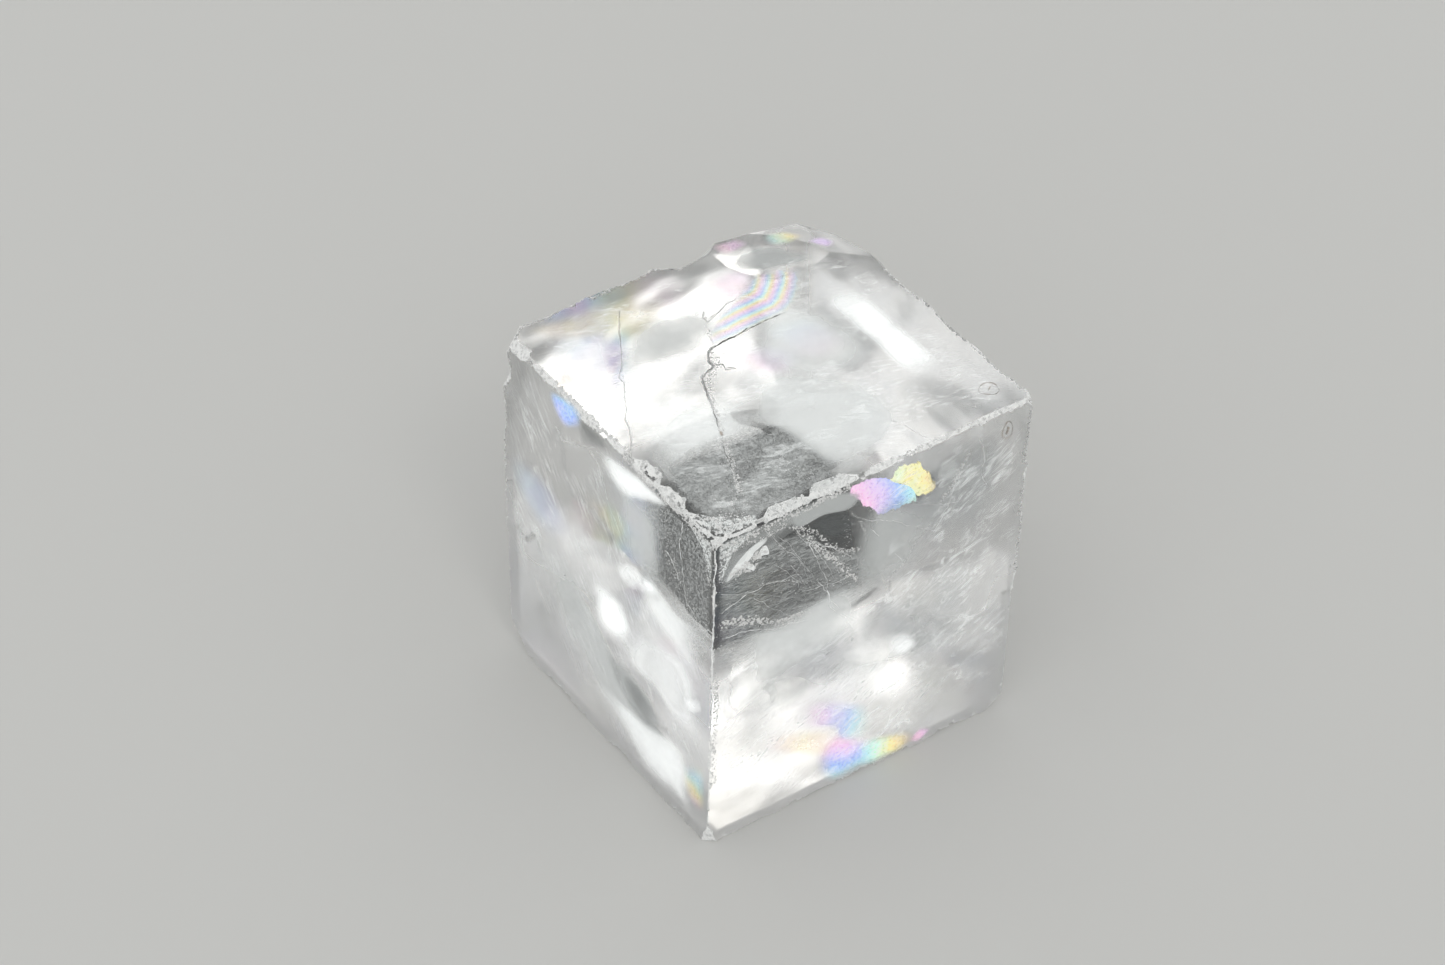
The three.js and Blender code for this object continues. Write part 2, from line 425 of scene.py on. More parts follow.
edgeNames = ("Front", "Side", "Rise")


def latticeParts(tree, place):
    # a place's lengths in mm along the three edge directions
    spans = Matrix(ways).transposed().inverted()
    shifts = (sizes[0] / 2, sizes[1] / 2, 0)
    return [plus(tree, dotOf(tree, place, Vector(row) / mm), shift) for row, shift in zip(spans, shifts)]


def newGroup(name, inputs, outputs):
    # a shader node group; an input's value is its plain value, or None for a vector, and an output's its kind
    group = bpy.data.node_groups.new(name, "ShaderNodeTree")
    for label, value in inputs.items():
        kind = "NodeSocketVector" if value is None else "NodeSocketFloat"
        socket = group.interface.new_socket(label, in_out="INPUT", socket_type=kind)
        if value is not None:
            socket.default_value = value
    for label, kind in outputs.items():
        group.interface.new_socket(label, in_out="OUTPUT", socket_type="NodeSocket" + kind)
    start = group.nodes.new("NodeGroupInput")
    end = group.nodes.new("NodeGroupOutput")
    return group, start.outputs, end.inputs


def placeGroup(tree, group, values=None):
    item = tree.nodes.new("ShaderNodeGroup")
    item.node_tree = group
    for label, value in (values or {}).items():
        feed(tree, item.inputs[label], value)
    return item


def makeLatticeGroup():
    # where a point lies in the crystal, in mm along the three edge directions
    group, start, end = newGroup("latticePlace", {"Position": None}, dict.fromkeys(edgeNames, "Float"))
    for label, field in zip(edgeNames, latticeParts(group, start["Position"])):
        feed(group, end[label], field)
    return group


latticeGroup = makeLatticeGroup()


grains = {  # the fine mineral grain on everything matt
    "scale": 2600.0,
    "detail": 3.0,
    "mask": (0.35, 0.6),  # noise values of the darkest and the lightest tone
    "bump": (0.5, 0.03),  # strength, and height in mm
    "ior": 1.5,
    "corners": 13,  # of a single lump
    "radius": (0.38, 0.52),  # mm, of a lump one millimetre across
    "turn": 6.28,  # radians, the most that a lump is turned
    "narrowest": 0.35,  # a strewn lump's width, as a share of its length
}


def makeGrainGroup():
    # the bare noise, and a mask between a darker and a lighter tone
    inputs = {"Position": None, "Scale": grains["scale"], "Detail": grains["detail"]}
    group, start, end = newGroup("mineralGrain", inputs, {"Height": "Float", "Mask": "Float"})
    noise = noiseAt(group, start["Position"], start["Scale"], start["Detail"])
    feed(group, end["Height"], noise)
    feed(group, end["Mask"], ramp(group, noise, *grains["mask"]))
    return group


grainGroup = makeGrainGroup()


chips = {
    "sharpAngle": 0.8,  # radians between two faces, from which their edge is chipped
    "flatness": 1.3,  # degrees from a cleavage plane; a face beyond that is a frosted break
    "outlineReach": 1.6,  # mm from both of an edge's faces
    "scoopFrom": (15.0, 18.0, 28.0),  # mm along the three edge directions
    "edgeSpacing": 0.2,  # mm
    "edgeChip": (0.05, 0.7),  # mm across, smallest and largest
    "stepSpacing": 1.8,
    "stepChip": (0.08, 0.6),
    "fewLarge": 4.0,  # a higher power leaves more small chips for each large one
    "fineEdge": 0.3,  # the blunt upright edge chipped this much finer
    "fineFar": 0.6,  # and the edges of the far faces this much
    "fineBelow": 30.0,  # mm up that edge
    "pitsPerSquareMm": 9.0,
    "pit": (0.15, 0.65),
    "uneven": (0.6, 1.5),  # a chip's three widths, as shares of its size
    "grooveLeast": (1.5, 1.5, 4.0),  # a crack's cuts, smallest and largest, as shares of its width
    "grooveMost": (3.6, 3.6, 8.0),
    "grooveTurn": (0.3, 0.3, 6.28),  # radians
    "seed": 11,
}


def grainMesh(name, seed, corners):
    # a small sharp lump, about one millimetre across
    rng = random.Random(seed)
    bm = bmesh.new()
    for _ in range(corners):
        way = Vector((rng.gauss(0, 1), rng.gauss(0, 1), rng.gauss(0, 1))).normalized()
        bm.verts.new(way * rng.uniform(*grains["radius"]) * mm)
    hull = bmesh.ops.convex_hull(bm, input=bm.verts)
    inside = {v for v in hull["geom_interior"] if isinstance(v, bmesh.types.BMVert)}
    bmesh.ops.delete(bm, geom=list(inside), context="VERTS")
    bmesh.ops.recalc_face_normals(bm, faces=bm.faces)
    return takeMesh(bm, name)


def stepMesh(name):
    # a one millimetre rhomb with the crystal's own angles
    bm = bmesh.new()
    bmesh.ops.create_cube(bm, size=1)
    bmesh.ops.transform(bm, matrix=Matrix(ways).transposed().to_4x4() * mm, verts=bm.verts)
    bmesh.ops.recalc_face_normals(bm, faces=bm.faces)
    return takeMesh(bm, name)


def flatMask(tree):
    # true on faces that lie along one of the cleavage planes
    facing = addNode(tree, "GeometryNodeInputNormal").outputs[0]
    best = highest(tree, 0.0, *[math2(tree, "ABSOLUTE", dotOf(tree, facing, normal)) for normal in normals])
    limit = math.cos(math.radians(chips["flatness"]))
    return addNode(tree, "FunctionNodeCompare", {0: best, 1: limit}, operation="GREATER_THAN").outputs[0]


def crumblyMask(tree):
    # true on the frosted breaks
    return above(tree, minus(tree, 1.0, highest(tree, flatMask(tree), glassyMask(tree))), 0.5)


def latticeFields(tree):
    return latticeParts(tree, addNode(tree, "GeometryNodeInputPosition").outputs[0])


def outlineMask(tree):
    # true near the twelve edges, and false along steps in the middle of a face
    near = []
    for field, size in zip(latticeFields(tree), sizes):
        inwards = math2(tree, "MINIMUM", field, minus(tree, size, field))
        near.append(below(tree, inwards, chips["outlineReach"]))
    return above(tree, plus(tree, *near), 1.5)


def glassyMask(tree):
    # true on the smooth scooped break, the corner behind it and the three far edges, which broke clean
    front, side, rise = latticeFields(tree)
    limits = zip((front, side, rise), chips["scoopFrom"])
    scoop = times(tree, *[above(tree, field, limit) for field, limit in limits])
    reach = chips["outlineReach"]
    back = above(tree, side, sizes[1] - reach)
    right = above(tree, front, sizes[0] - reach)
    far = plus(tree, back, right, below(tree, rise, reach))
    return highest(tree, scoop, above(tree, far, 1.5))


def randomValue(tree, low, high, seed, vector=False):
    kind = "FLOAT_VECTOR" if vector else "FLOAT"
    node = addNode(tree, "FunctionNodeRandomValue", data_type=kind)
    sockets = (0, 1, 0) if vector else (2, 3, 1)
    feed(tree, node.inputs[sockets[0]], low)
    feed(tree, node.inputs[sockets[1]], high)
    feed(tree, node.inputs["Seed"], seed)
    return node.outputs[sockets[2]]


def chipTree(clear, broken):
    tree, start, end = newTree("chipScatter", {
        "Grain": None, "Step": None, "Cracks": None, "Crack Spacing": 0.1 * mm, "Sharp Angle": 0.8,
        "Edge Spacing": 0.5 * mm, "Edge Smallest": 0.1, "Edge Largest": 0.4,
        "Step Spacing": 0.5 * mm, "Step Smallest": 0.1, "Step Largest": 0.4,
        "Pit Density": 3e6, "Pit Smallest": 0.1, "Pit Largest": 0.4, "Seed": 1,
    })
    whole = start["Geometry"]
    turn = (2 * math.pi,) * 3
    angle = addNode(tree, "GeometryNodeInputMeshEdgeAngle").outputs["Unsigned Angle"]
    sharp = above(tree, angle, start["Sharp Angle"])
    frosty = minus(tree, outlineMask(tree), glassyMask(tree))
    chosen = above(tree, times(tree, sharp, frosty), 0.5)
    ridges = addNode(tree, "GeometryNodeMeshToCurve", {"Mesh": whole, "Selection": chosen}).outputs[0]
    grain = shapeOf(tree, start["Grain"], False)
    step = shapeOf(tree, start["Step"], False)

    front, side, rise = latticeFields(tree)
    reach = chips["outlineReach"]
    upright = times(tree, below(tree, front, reach), below(tree, side, reach))
    fine = times(tree, upright, below(tree, rise, chips["fineBelow"]))
    far = highest(tree, above(tree, side, sizes[1] - reach), above(tree, front, sizes[0] - reach))
    finer = times(tree, ramp(tree, far, 0.0, 1.0, 1.0, chips["fineFar"]),
                  ramp(tree, fine, 0.0, 1.0, 1.0, chips["fineEdge"]))

    def seedAfter(steps):
        return plus(tree, start["Seed"], steps)

    def alongRidges(kind, shape, seed, turned):
        rare = math2(tree, "POWER", randomValue(tree, 0.0, 1.0, plus(tree, seed, 8)), chips["fewLarge"])
        smallest = start[kind + " Smallest"]
        spread = times(tree, minus(tree, start[kind + " Largest"], smallest), rare)
        across = times(tree, plus(tree, smallest, spread), finer)
        least, most = chips["uneven"]
        uneven = randomValue(tree, (least,) * 3, (most,) * 3, seed, vector=True)
        rotation = randomValue(tree, (0, 0, 0), turn, plus(tree, seed, 5), vector=True) if turned else None
        points = resampled(tree, ridges, start[kind + " Spacing"])
        return instances(tree, points, shape, scaled(tree, uneven, across), rotation)

    edgeGrains = alongRidges("Edge", grain, start["Seed"], True)
    steps = alongRidges("Step", step, seedAfter(1), False)
    scatter = addNode(tree, "GeometryNodeDistributePointsOnFaces", {
        "Mesh": whole, "Selection": crumblyMask(tree), "Density": start["Pit Density"], "Seed": start["Seed"],
    }).outputs["Points"]
    pitSize = randomValue(tree, start["Pit Smallest"], start["Pit Largest"], seedAfter(2), vector=True)
    pitTurn = randomValue(tree, (0, 0, 0), turn, plus(tree, seedAfter(2), 1), vector=True)
    pits = instances(tree, scatter, grain, pitSize, pitTurn)
    crackPoints = resampled(tree, shapeOf(tree, start["Cracks"], False), start["Crack Spacing"])
    width = math2(tree, "DIVIDE", addNode(tree, "GeometryNodeInputRadius").outputs[0], mm)
    cutSize = randomValue(tree, chips["grooveLeast"], chips["grooveMost"], seedAfter(4), vector=True)
    cutTurn = randomValue(tree, (0, 0, 0), chips["grooveTurn"], seedAfter(4), vector=True)
    grooves = instances(tree, crackPoints, grain, scaled(tree, cutSize, width), cutTurn)
    settings = {"operation": "DIFFERENCE", "solver": "MANIFOLD"}
    cut = addNode(tree, "GeometryNodeMeshBoolean", {"Mesh 1": whole}, **settings)
    for cutters in (edgeGrains, steps, pits, grooves):
        tree.links.new(cutters, cut.inputs["Mesh 2"])
    real = addNode(tree, "GeometryNodeRealizeInstances", {"Geometry": cut.outputs["Mesh"]}).outputs[0]
    allClear = addNode(tree, "GeometryNodeSetMaterial", {"Geometry": real, "Material": clear}).outputs[0]
    finished = addNode(tree, "GeometryNodeSetMaterial", {
        "Geometry": allClear, "Selection": crumblyMask(tree), "Material": broken,
    }).outputs[0]
    feed(tree, end["Geometry"], finished)
    return tree


def clearMaterial():
    material, tree, inputs = newMaterial("clearCalcite", {
        "Transmission Weight": 1, "IOR": body["ior"], "Base Color": body["clearTint"],
    })
    place = objectPlace(tree)
    lattice = placeGroup(tree, latticeGroup, {"Position": place}).outputs
    wander = stray(tree, place, *body["rubbedWander"], 1.0)
    low = ramp(tree, plus(tree, lattice["Rise"], wander), *body["rubbedHeight"])
    near = highest(tree, *[ramp(tree, lattice[name], *body["nearSkin"]) for name in ("Side", "Front")])
    rubbed = times(tree, low, near)
    farMask = highest(tree, *[ramp(tree, lattice[name], *span) for name, span in body["farSkins"].items()])
    hazy = times(tree, farMask, body["farHaze"])
    for label, low, high, sides in body["windows"]:
        borders = []
        for *leans, offset in sides:
            rises = [times(tree, lattice[name], lean) for name, lean in zip(edgeNames, leans)]
            borders.append(plus(tree, offset, *rises))
        border = ramp(tree, math2(tree, "ABSOLUTE", highest(tree, *borders)), *body["windowReach"])
        onIt = ramp(tree, lattice[label], low, high)
        hazy = plus(tree, hazy, times(tree, border, onIt, body["windowHaze"]))
    rough = plus(tree, times(tree, rubbed, body["rubbed"]), body["polish"])
    feed(tree, inputs["Roughness"], plus(tree, rough, hazy))
    scale, height = body["ripple"]
    addBump(tree, inputs, farMask, height * mm, noiseAt(tree, place, scale, 1.5, {"Roughness": 0.45}))
    return material


def brokenMaterial():
    material, tree, inputs = newMaterial("frostedBreak", {
        # painted glow: a faint white emission brightens the breaks
        "Emission Color": (1, 1, 1, 1), "Emission Strength": body["breakPaintedGlow"],
        "Transmission Weight": body["breakClear"], "IOR": body["ior"],
    })
    material.cycles.emission_sampling = "NONE"
    scale, detail = body["breakGrain"]
    grain = placeGroup(tree, grainGroup, {
        "Position": objectPlace(tree), "Scale": scale, "Detail": detail,
    }).outputs["Height"]
    feed(tree, inputs["Base Color"], mixColour(tree, grain, *body["breakTones"]))
    feed(tree, inputs["Roughness"], ramp(tree, grain, 0.3, 0.7, *body["breakRoughness"]))
    strength, height = body["breakBump"]
    addBump(tree, inputs, strength, height * mm, grain)
    return material


def largestPiece(mesh):
    # drops crumbs that the chips cut loose
    bm = bmesh.new()
    bm.from_mesh(mesh)
    bm.faces.ensure_lookup_table()
    seen = set()
    islands = []
    for first in bm.faces:
        if first.index in seen:
            continue
        island = []
        stack = [first]
        seen.add(first.index)
        while stack:
            face = stack.pop()
            island.append(face)
            for edge in face.edges:
                for other in edge.link_faces:
                    if other.index not in seen:
                        seen.add(other.index)
                        stack.append(other)
        islands.append(island)
    islands.sort(key=len, reverse=True)
    loose = [face for island in islands[1:] for face in island]
    bmesh.ops.delete(bm, geom=loose, context="FACES")
    bm.to_mesh(mesh)
    bm.free()
    print("  crumbs dropped:", len(islands) - 1)


cracks = {
    "spacing": 0.11,  # mm
    "lines": [  # on the top face, front and side in mm, with the half width of the groove
        [0.04, [(8.92, 24.8), (7.66, 23.1), (6.47, 21.1), (5.29, 19.4), (4.51, 18.6), (4.5, 17.9),
                (3.73, 16.8), (2.89, 15.3), (2.32, 14.65), (1.93, 13.6), (1.36, 12.4), (0.48, 11.4),
                (0.1, 10.3)]],
        [0.1, [(12.3, 17.6), (11.78, 17.35), (11.18, 16.4), (11.22, 15.8), (9.75, 15.3), (9.21, 14.1),
               (8.53, 12.3), (8.0, 11.3), (7.6, 10.25), (7.27, 9.4), (6.56, 8.2), (6.09, 6.9), (5.63, 5.6),
               (4.99, 4.4), (4.73, 3.65)]],
        [0.05, [(11.3, 15.9), (11.9, 15.6), (11.7, 15.0), (12.4, 14.7)]],
        [0.04, [(14.29, 21.25), (13.76, 20.76), (13.8, 20.17), (14.78, 20.5), (16.03, 21.08), (17.0, 21.14)]],
        [0.06, [(12.24, 17.6), (14.55, 17.73), (17.0, 17.92), (19.33, 17.91)]],
        [0.02, [(19.33, 17.91), (20.45, 18.16), (21.67, 19.18), (22.72, 20.47), (23.16, 21.32)]],
    ],
}


def pathObject(name, lines):
    # a curve object of straight-sided lines; each line is its half width in mm and its places
    data = bpy.data.curves.new(name, "CURVE")
    data.dimensions = "3D"
    for width, places in lines:
        spline = data.splines.new("POLY")
        spline.points.add(len(places) - 1)
        for point, place in zip(spline.points, places):
            point.co = (*place, 1)
            point.radius = width * mm
    return newObject(name, data)


def makeCrackPaths():
    lines = [(width, [onFace("top", a, b) for a, b in line]) for width, line in cracks["lines"]]
    return pathObject("crackPaths", lines)


def makeBody():
    mesh = cadMesh.copy()
    bm = bmesh.new()
    bm.from_mesh(mesh)
    bmesh.ops.remove_doubles(bm, verts=bm.verts, dist=1e-7)
    bm.to_mesh(mesh)
    bm.free()
    mesh.materials.clear()
    crystal = newObject("calciteBody", mesh)
    grain = newObject("chipGrain", grainMesh("chipGrain", chips["seed"], grains["corners"]))
    step = newObject("chipStep", stepMesh("chipStep"))
    crackPaths = makeCrackPaths()
    crystal.data = growMesh(crystal, chipTree(clearMaterial(), brokenMaterial()), {
        "Grain": grain,
        "Step": step,
        "Cracks": crackPaths,
        "Crack Spacing": cracks["spacing"] * mm,
        "Sharp Angle": chips["sharpAngle"],
        "Edge Spacing": chips["edgeSpacing"] * mm,
        "Edge Smallest": chips["edgeChip"][0],
        "Edge Largest": chips["edgeChip"][1],
        "Step Spacing": chips["stepSpacing"] * mm,
        "Step Smallest": chips["stepChip"][0],
        "Step Largest": chips["stepChip"][1],
        "Pit Density": chips["pitsPerSquareMm"] * 1e6,
        "Pit Smallest": chips["pit"][0],
        "Pit Largest": chips["pit"][1],
        "Seed": chips["seed"],
    }, "calciteBody")
    for helper in (grain, step, crackPaths):
        bpy.data.objects.remove(helper)
    for face in crystal.data.polygons:
        face.use_smooth = False
    largestPiece(crystal.data)
    print("  calciteBody", len(crystal.data.polygons), "faces")
    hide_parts("calcite_crystal")
    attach(crystal, "root")


makeBody()
print("crystal made")


def finishPiece(piece):
    for face in piece.data.polygons:
        face.use_smooth = False
    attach(piece, "root")
    print("  " + piece.name, len(piece.data.polygons), "faces")
    return piece


def joinMeshes(name, meshes):
    # one mesh of several that share a material
    bm = bmesh.new()
    for mesh in meshes:
        bm.from_mesh(mesh)
    whole = takeMesh(bm, name)
    whole.materials.append(meshes[0].materials[0])
    return whole


def mattMaterial(name, look, more=None):
    # a white of the look's roughness and clearness, with the look's painted glow, an emission that brightens
    # it though it is no lamp
    material, tree, inputs = newMaterial(name, {
        "Base Color": (1, 1, 1, 1),
        "Roughness": look["roughness"],
        "Transmission Weight": look["clear"],
        "Emission Color": (1, 1, 1, 1),
        "Emission Strength": look["paintedGlow"],
        **(more or {}),
    })
    material.cycles.emission_sampling = "NONE"  # too faint to be worth sampling as a lamp
    return material, tree, inputs


def crumbMaterial(name, look, more=None):
    # a grainy mineral white, an iron brown or the near-black painted shade of the cracks, with its tone
    # varying from grain to grain
    material, tree, inputs = mattMaterial(name, look, {"IOR": grains["ior"], **(more or {})})
    grain = placeGroup(tree, grainGroup, {"Position": objectPlace(tree)}).outputs
    feed(tree, inputs["Base Color"], mixColour(tree, grain["Mask"], *look["tones"]))
    strength, height = grains["bump"]
    addBump(tree, inputs, strength, height * mm, grain["Height"])
    return material


edgeCrumbs = {
    "perSquareMm": 30.0,
    "size": (0.05, 0.19),  # mm
    "above": 0.15,  # mm of the base kept free of them
    "corners": 7,
    "tones": [(0.62, 0.64, 0.64, 1), (1, 1, 1, 1)],
    "clear": 0.1,  # share of light let through
    "roughness": 0.5,
    # painted glow: emission that brightens the crumbs
    "paintedGlow": 0.14,
    "seed": 5,
}


def breakCrumbTree(material, broken):
    tree, start, end = newTree("breakCrumbs", {
        "Grain": None, "Density": 1e7, "Smallest": 0.1, "Largest": 0.2, "Seed": 1,
    })
    onBreak = addNode(tree, "GeometryNodeMaterialSelection", {"Material": broken}).outputs[0]
    place = addNode(tree, "ShaderNodeSeparateXYZ", {0: addNode(tree, "GeometryNodeInputPosition").outputs[0]})
    clearOfBase = above(tree, place.outputs["Z"], edgeCrumbs["above"] * mm)
    points = addNode(tree, "GeometryNodeDistributePointsOnFaces", {
        "Mesh": start["Geometry"],
        "Selection": above(tree, times(tree, onBreak, clearOfBase), 0.5),
        "Density": start["Density"],
        "Seed": start["Seed"],
    }).outputs["Points"]
    size = randomValue(tree, start["Smallest"], start["Largest"], start["Seed"], vector=True)
    turn = randomValue(tree, (0, 0, 0), (grains["turn"],) * 3, plus(tree, start["Seed"], 1), vector=True)
    endTree(tree, end, instances(tree, points, shapeOf(tree, start["Grain"], True), size, turn), material)
    return tree


def makeEdgeCrumbs():
    material = crumbMaterial("crumbWhite", edgeCrumbs)
    grain = newObject("crumbGrain", grainMesh("crumbGrain", edgeCrumbs["seed"], edgeCrumbs["corners"]))
    tree = breakCrumbTree(material, bpy.data.materials["frostedBreak"])
    mesh = growMesh(bpy.data.objects["calciteBody"], tree, {
        "Grain": grain,
        "Density": edgeCrumbs["perSquareMm"] * 1e6,
        "Smallest": edgeCrumbs["size"][0],
        "Largest": edgeCrumbs["size"][1],
        "Seed": edgeCrumbs["seed"],
    }, "edgeCrumbs")
    bpy.data.objects.remove(grain)
    finishPiece(newObject("edgeCrumbs", mesh))


makeEdgeCrumbs()


def trailTree(name, material):
    # grains strewn along lines on a face, laid flat on it
    tree, start, end = newTree(name, {
        "Grain": None, "Spacing": 0.1 * mm, "Spread": 1.0, "Smallest": 0.1, "Largest": 0.3, "Flatness": 0.4,
        "Facing": (0.0, 0.0, 1.0), "Seed": 1,
    })
    facing = start["Facing"]

    def seedAfter(steps):
        return plus(tree, start["Seed"], steps)

    radius = addNode(tree, "GeometryNodeInputRadius").outputs[0]
    stray = randomValue(tree, (-1, -1, -1), (1, 1, 1), start["Seed"], vector=True)
    astray = scaled(tree, stray, times(tree, radius, start["Spread"]))
    flat = vector2(tree, "SUBTRACT", astray, scaled(tree, facing, dotOf(tree, astray, facing)))
    points = addNode(tree, "GeometryNodeSetPosition", {
        "Geometry": resampled(tree, start["Geometry"], start["Spacing"]), "Offset": flat,
    }).outputs[0]
    share = randomValue(tree, start["Smallest"], start["Largest"], seedAfter(1))
    size = times(tree, math2(tree, "DIVIDE", radius, mm), share)
    squash = joined(tree, 1.0, randomValue(tree, grains["narrowest"], 1.0, seedAfter(2)), start["Flatness"])
    spin = joined(tree, z=randomValue(tree, 0.0, grains["turn"], seedAfter(3)))
    turned = addNode(tree, "FunctionNodeEulerToRotation", {0: spin}).outputs[0]
    aligned = addNode(tree, "FunctionNodeAlignRotationToVector", {"Vector": facing}, axis="Z").outputs[0]
    rotation = addNode(tree, "FunctionNodeRotateRotation", {
        "Rotation": aligned, "Rotate By": turned,
    }, rotation_space="LOCAL").outputs[0]
    grain = shapeOf(tree, start["Grain"], True)
    endTree(tree, end, instances(tree, points, grain, scaled(tree, squash, size), rotation), material)
    return tree


def strew(name, tree, look):
    # grows the grains of each face's lines, then makes them one piece
    grain = newObject(name + "Grain", grainMesh(name + "Grain", look["seed"], look["corners"]))
    meshes = []
    for face in sorted({line[0] for line in look["lines"]}):
        own = [(width, [onSkin(face, a, b, look["depth"]) for a, b in places])
               for lineFace, width, places in look["lines"] if lineFace == face]
        paths = pathObject(name + "Path", own)
        meshes.append(growMesh(paths, tree, {
            "Grain": grain,
            "Spacing": look["spacing"] * mm,
            "Spread": look["spread"],
            "Smallest": look["size"][0],
            "Largest": look["size"][1],
            "Flatness": look["flatness"],
            "Facing": list(outward(face)),
            "Seed": look["seed"],
        }, name))
        bpy.data.objects.remove(paths)
    bpy.data.objects.remove(grain)
    finishPiece(newObject(name, joinMeshes(name, meshes)))


flakes = {
    "tones": [(0.8, 0.82, 0.82, 1), (1, 1, 1, 1)],
    "clear": 0.15,
    "roughness": 0.45,
    # painted glow: emission that brightens the flakes and the dust
    "paintedGlow": 0.22,
    "depth": -0.04,  # mm
    "spacing": 0.05,  # mm
    "spread": 1.0,  # share of the half width that they stray
    "size": (0.3, 2.0),  # share of the half width
    "flatness": 0.22,
    "corners": 9,
    "seed": 21,
    "lines": [  # face, half width in mm, places on the face
        ["front", 0.4, [(1.6, 27.9), (2.4, 28.2), (3.25, 28.5), (3.9, 28.8), (4.66, 29.05)]],
        ["front", 0.3, [(2.0, 28.05), (2.82, 27.83), (3.72, 27.87)]],
        ["front", 0.3, [(0.4, 31.3), (3.0, 31.2), (6.0, 31.35), (9.0, 31.25), (12.0, 31.5)]],
        ["front", 0.2, [(0.5, 30.4), (2.4, 30.6), (4.6, 30.3), (6.4, 30.7)]],
        ["left", 0.28, [(0.3, 31.2), (3.6, 31.5), (7.4, 31.35), (11.4, 31.6)]],
        ["left", 0.14, [(0.4, 30.2), (1.0, 28.6), (0.5, 27.4)]],
        ["front", 0.2, [(6.76, 30.27), (7.7, 29.3), (9.16, 27.07)]],
        ["front", 0.26, [(9.16, 27.07), (11.1, 24.57), (12.61, 22.27), (13.2, 21.7)]],
        ["front", 0.2, [(7.2, 29.9), (8.9, 28.7), (10.3, 26.6), (11.9, 25.2), (13.2, 24.7)]],
        ["front", 0.36, [(0.71, 23.39), (2.06, 23.18), (3.2, 22.6), (4.36, 22.17)]],
        ["front", 0.3, [(4.36, 22.17), (5.77, 21.02), (7.16, 20.7), (8.34, 20.9)]],
        ["front", 0.16, [(0.5, 21.3), (1.3, 20.6), (2.4, 20.3)]],
        ["front", 0.12, [(12.2, 28.9), (13.0, 27.9), (13.6, 26.4), (13.9, 25.2)]],
        ["front", 0.1, [(4.0, 25.8), (6.0, 25.2), (8.2, 24.0)]],
        ["front", 0.16, [(23.2, 29.4), (22.4, 28.3), (21.7, 26.8), (20.6, 25.6)]],
        ["front", 0.08, [(20.0, 23.9), (18.6, 22.6), (17.6, 21.0), (16.0, 19.9)]],
        ["front", 0.22, [(0.35, 18.5), (0.5, 15.0), (0.4, 11.2), (0.45, 8.2), (0.35, 6.4)]],
        ["front", 0.1, [(1.2, 17.9), (1.9, 16.6), (1.6, 14.9), (2.4, 13.6)]],
        ["top", 0.2, [(12.0, 16.6), (11.5, 15.6), (10.1, 14.9), (9.5, 13.6)]],
        ["top", 0.24, [(6.9, 8.6), (6.4, 7.3), (5.9, 6.0), (5.3, 4.8), (4.7, 3.9), (4.6, 3.2)]],
        ["top", 0.2, [(11.9, 17.2), (11.3, 16.2), (11.4, 15.6)]],
        ["top", 0.19, [(9.9, 15.4), (9.3, 13.9), (8.5, 12.0), (7.7, 10.0), (7.2, 9.2)]],
        ["top", 0.08, [(8.6, 24.6), (6.5, 21.1), (4.5, 17.9), (2.9, 15.2), (1.4, 12.3), (0.3, 10.8)]],
        ["top", 0.3, [(0.7, 0.8), (1.5, 1.4), (1.1, 2.6)]],
        ["top", 0.2, [(1.2, 0.7), (2.4, 0.9), (3.8, 0.8)]],
        ["top", 0.12, [(24.6, 5.7), (24.8, 5.8)]],
        ["top", 0.12, [(24.5, 1.5), (24.6, 1.6)]],
        ["top", 0.1, [(19.0, 2.1), (19.1, 2.2)]],
        ["top", 0.12, [(14.5, 7.9), (14.7, 8.0)]],
        ["top", 0.1, [(15.0, 8.3), (15.1, 8.4)]],
        ["top", 0.14, [(12.6, 17.7), (12.9, 18.6), (13.4, 19.8), (13.9, 20.8)]],
        ["top", 0.1, [(20.23, 21.7), (21.39, 21.36), (22.38, 21.42), (23.3, 21.52)]],
        ["top", 0.1, [(14.2, 8.2), (14.7, 8.0), (15.1, 8.35)]],
        ["top", 0.07, [(9.2, 4.6), (9.7, 5.2), (9.5, 5.9)]],
        ["top", 0.07, [(12.3, 3.9), (12.8, 4.3)]],
        ["top", 0.1, [(24.2, 26.0), (24.4, 25.0), (24.7, 24.2)]],
        ["left", 0.09, [(4.9, 26.6), (4.6, 25.6), (4.1, 24.9)]],
        ["left", 0.06, [(3.1, 27.6), (2.6, 26.8)]],
        ["left", 0.06, [(6.9, 27.2), (6.4, 26.3), (6.6, 25.1)]],
    ],
}

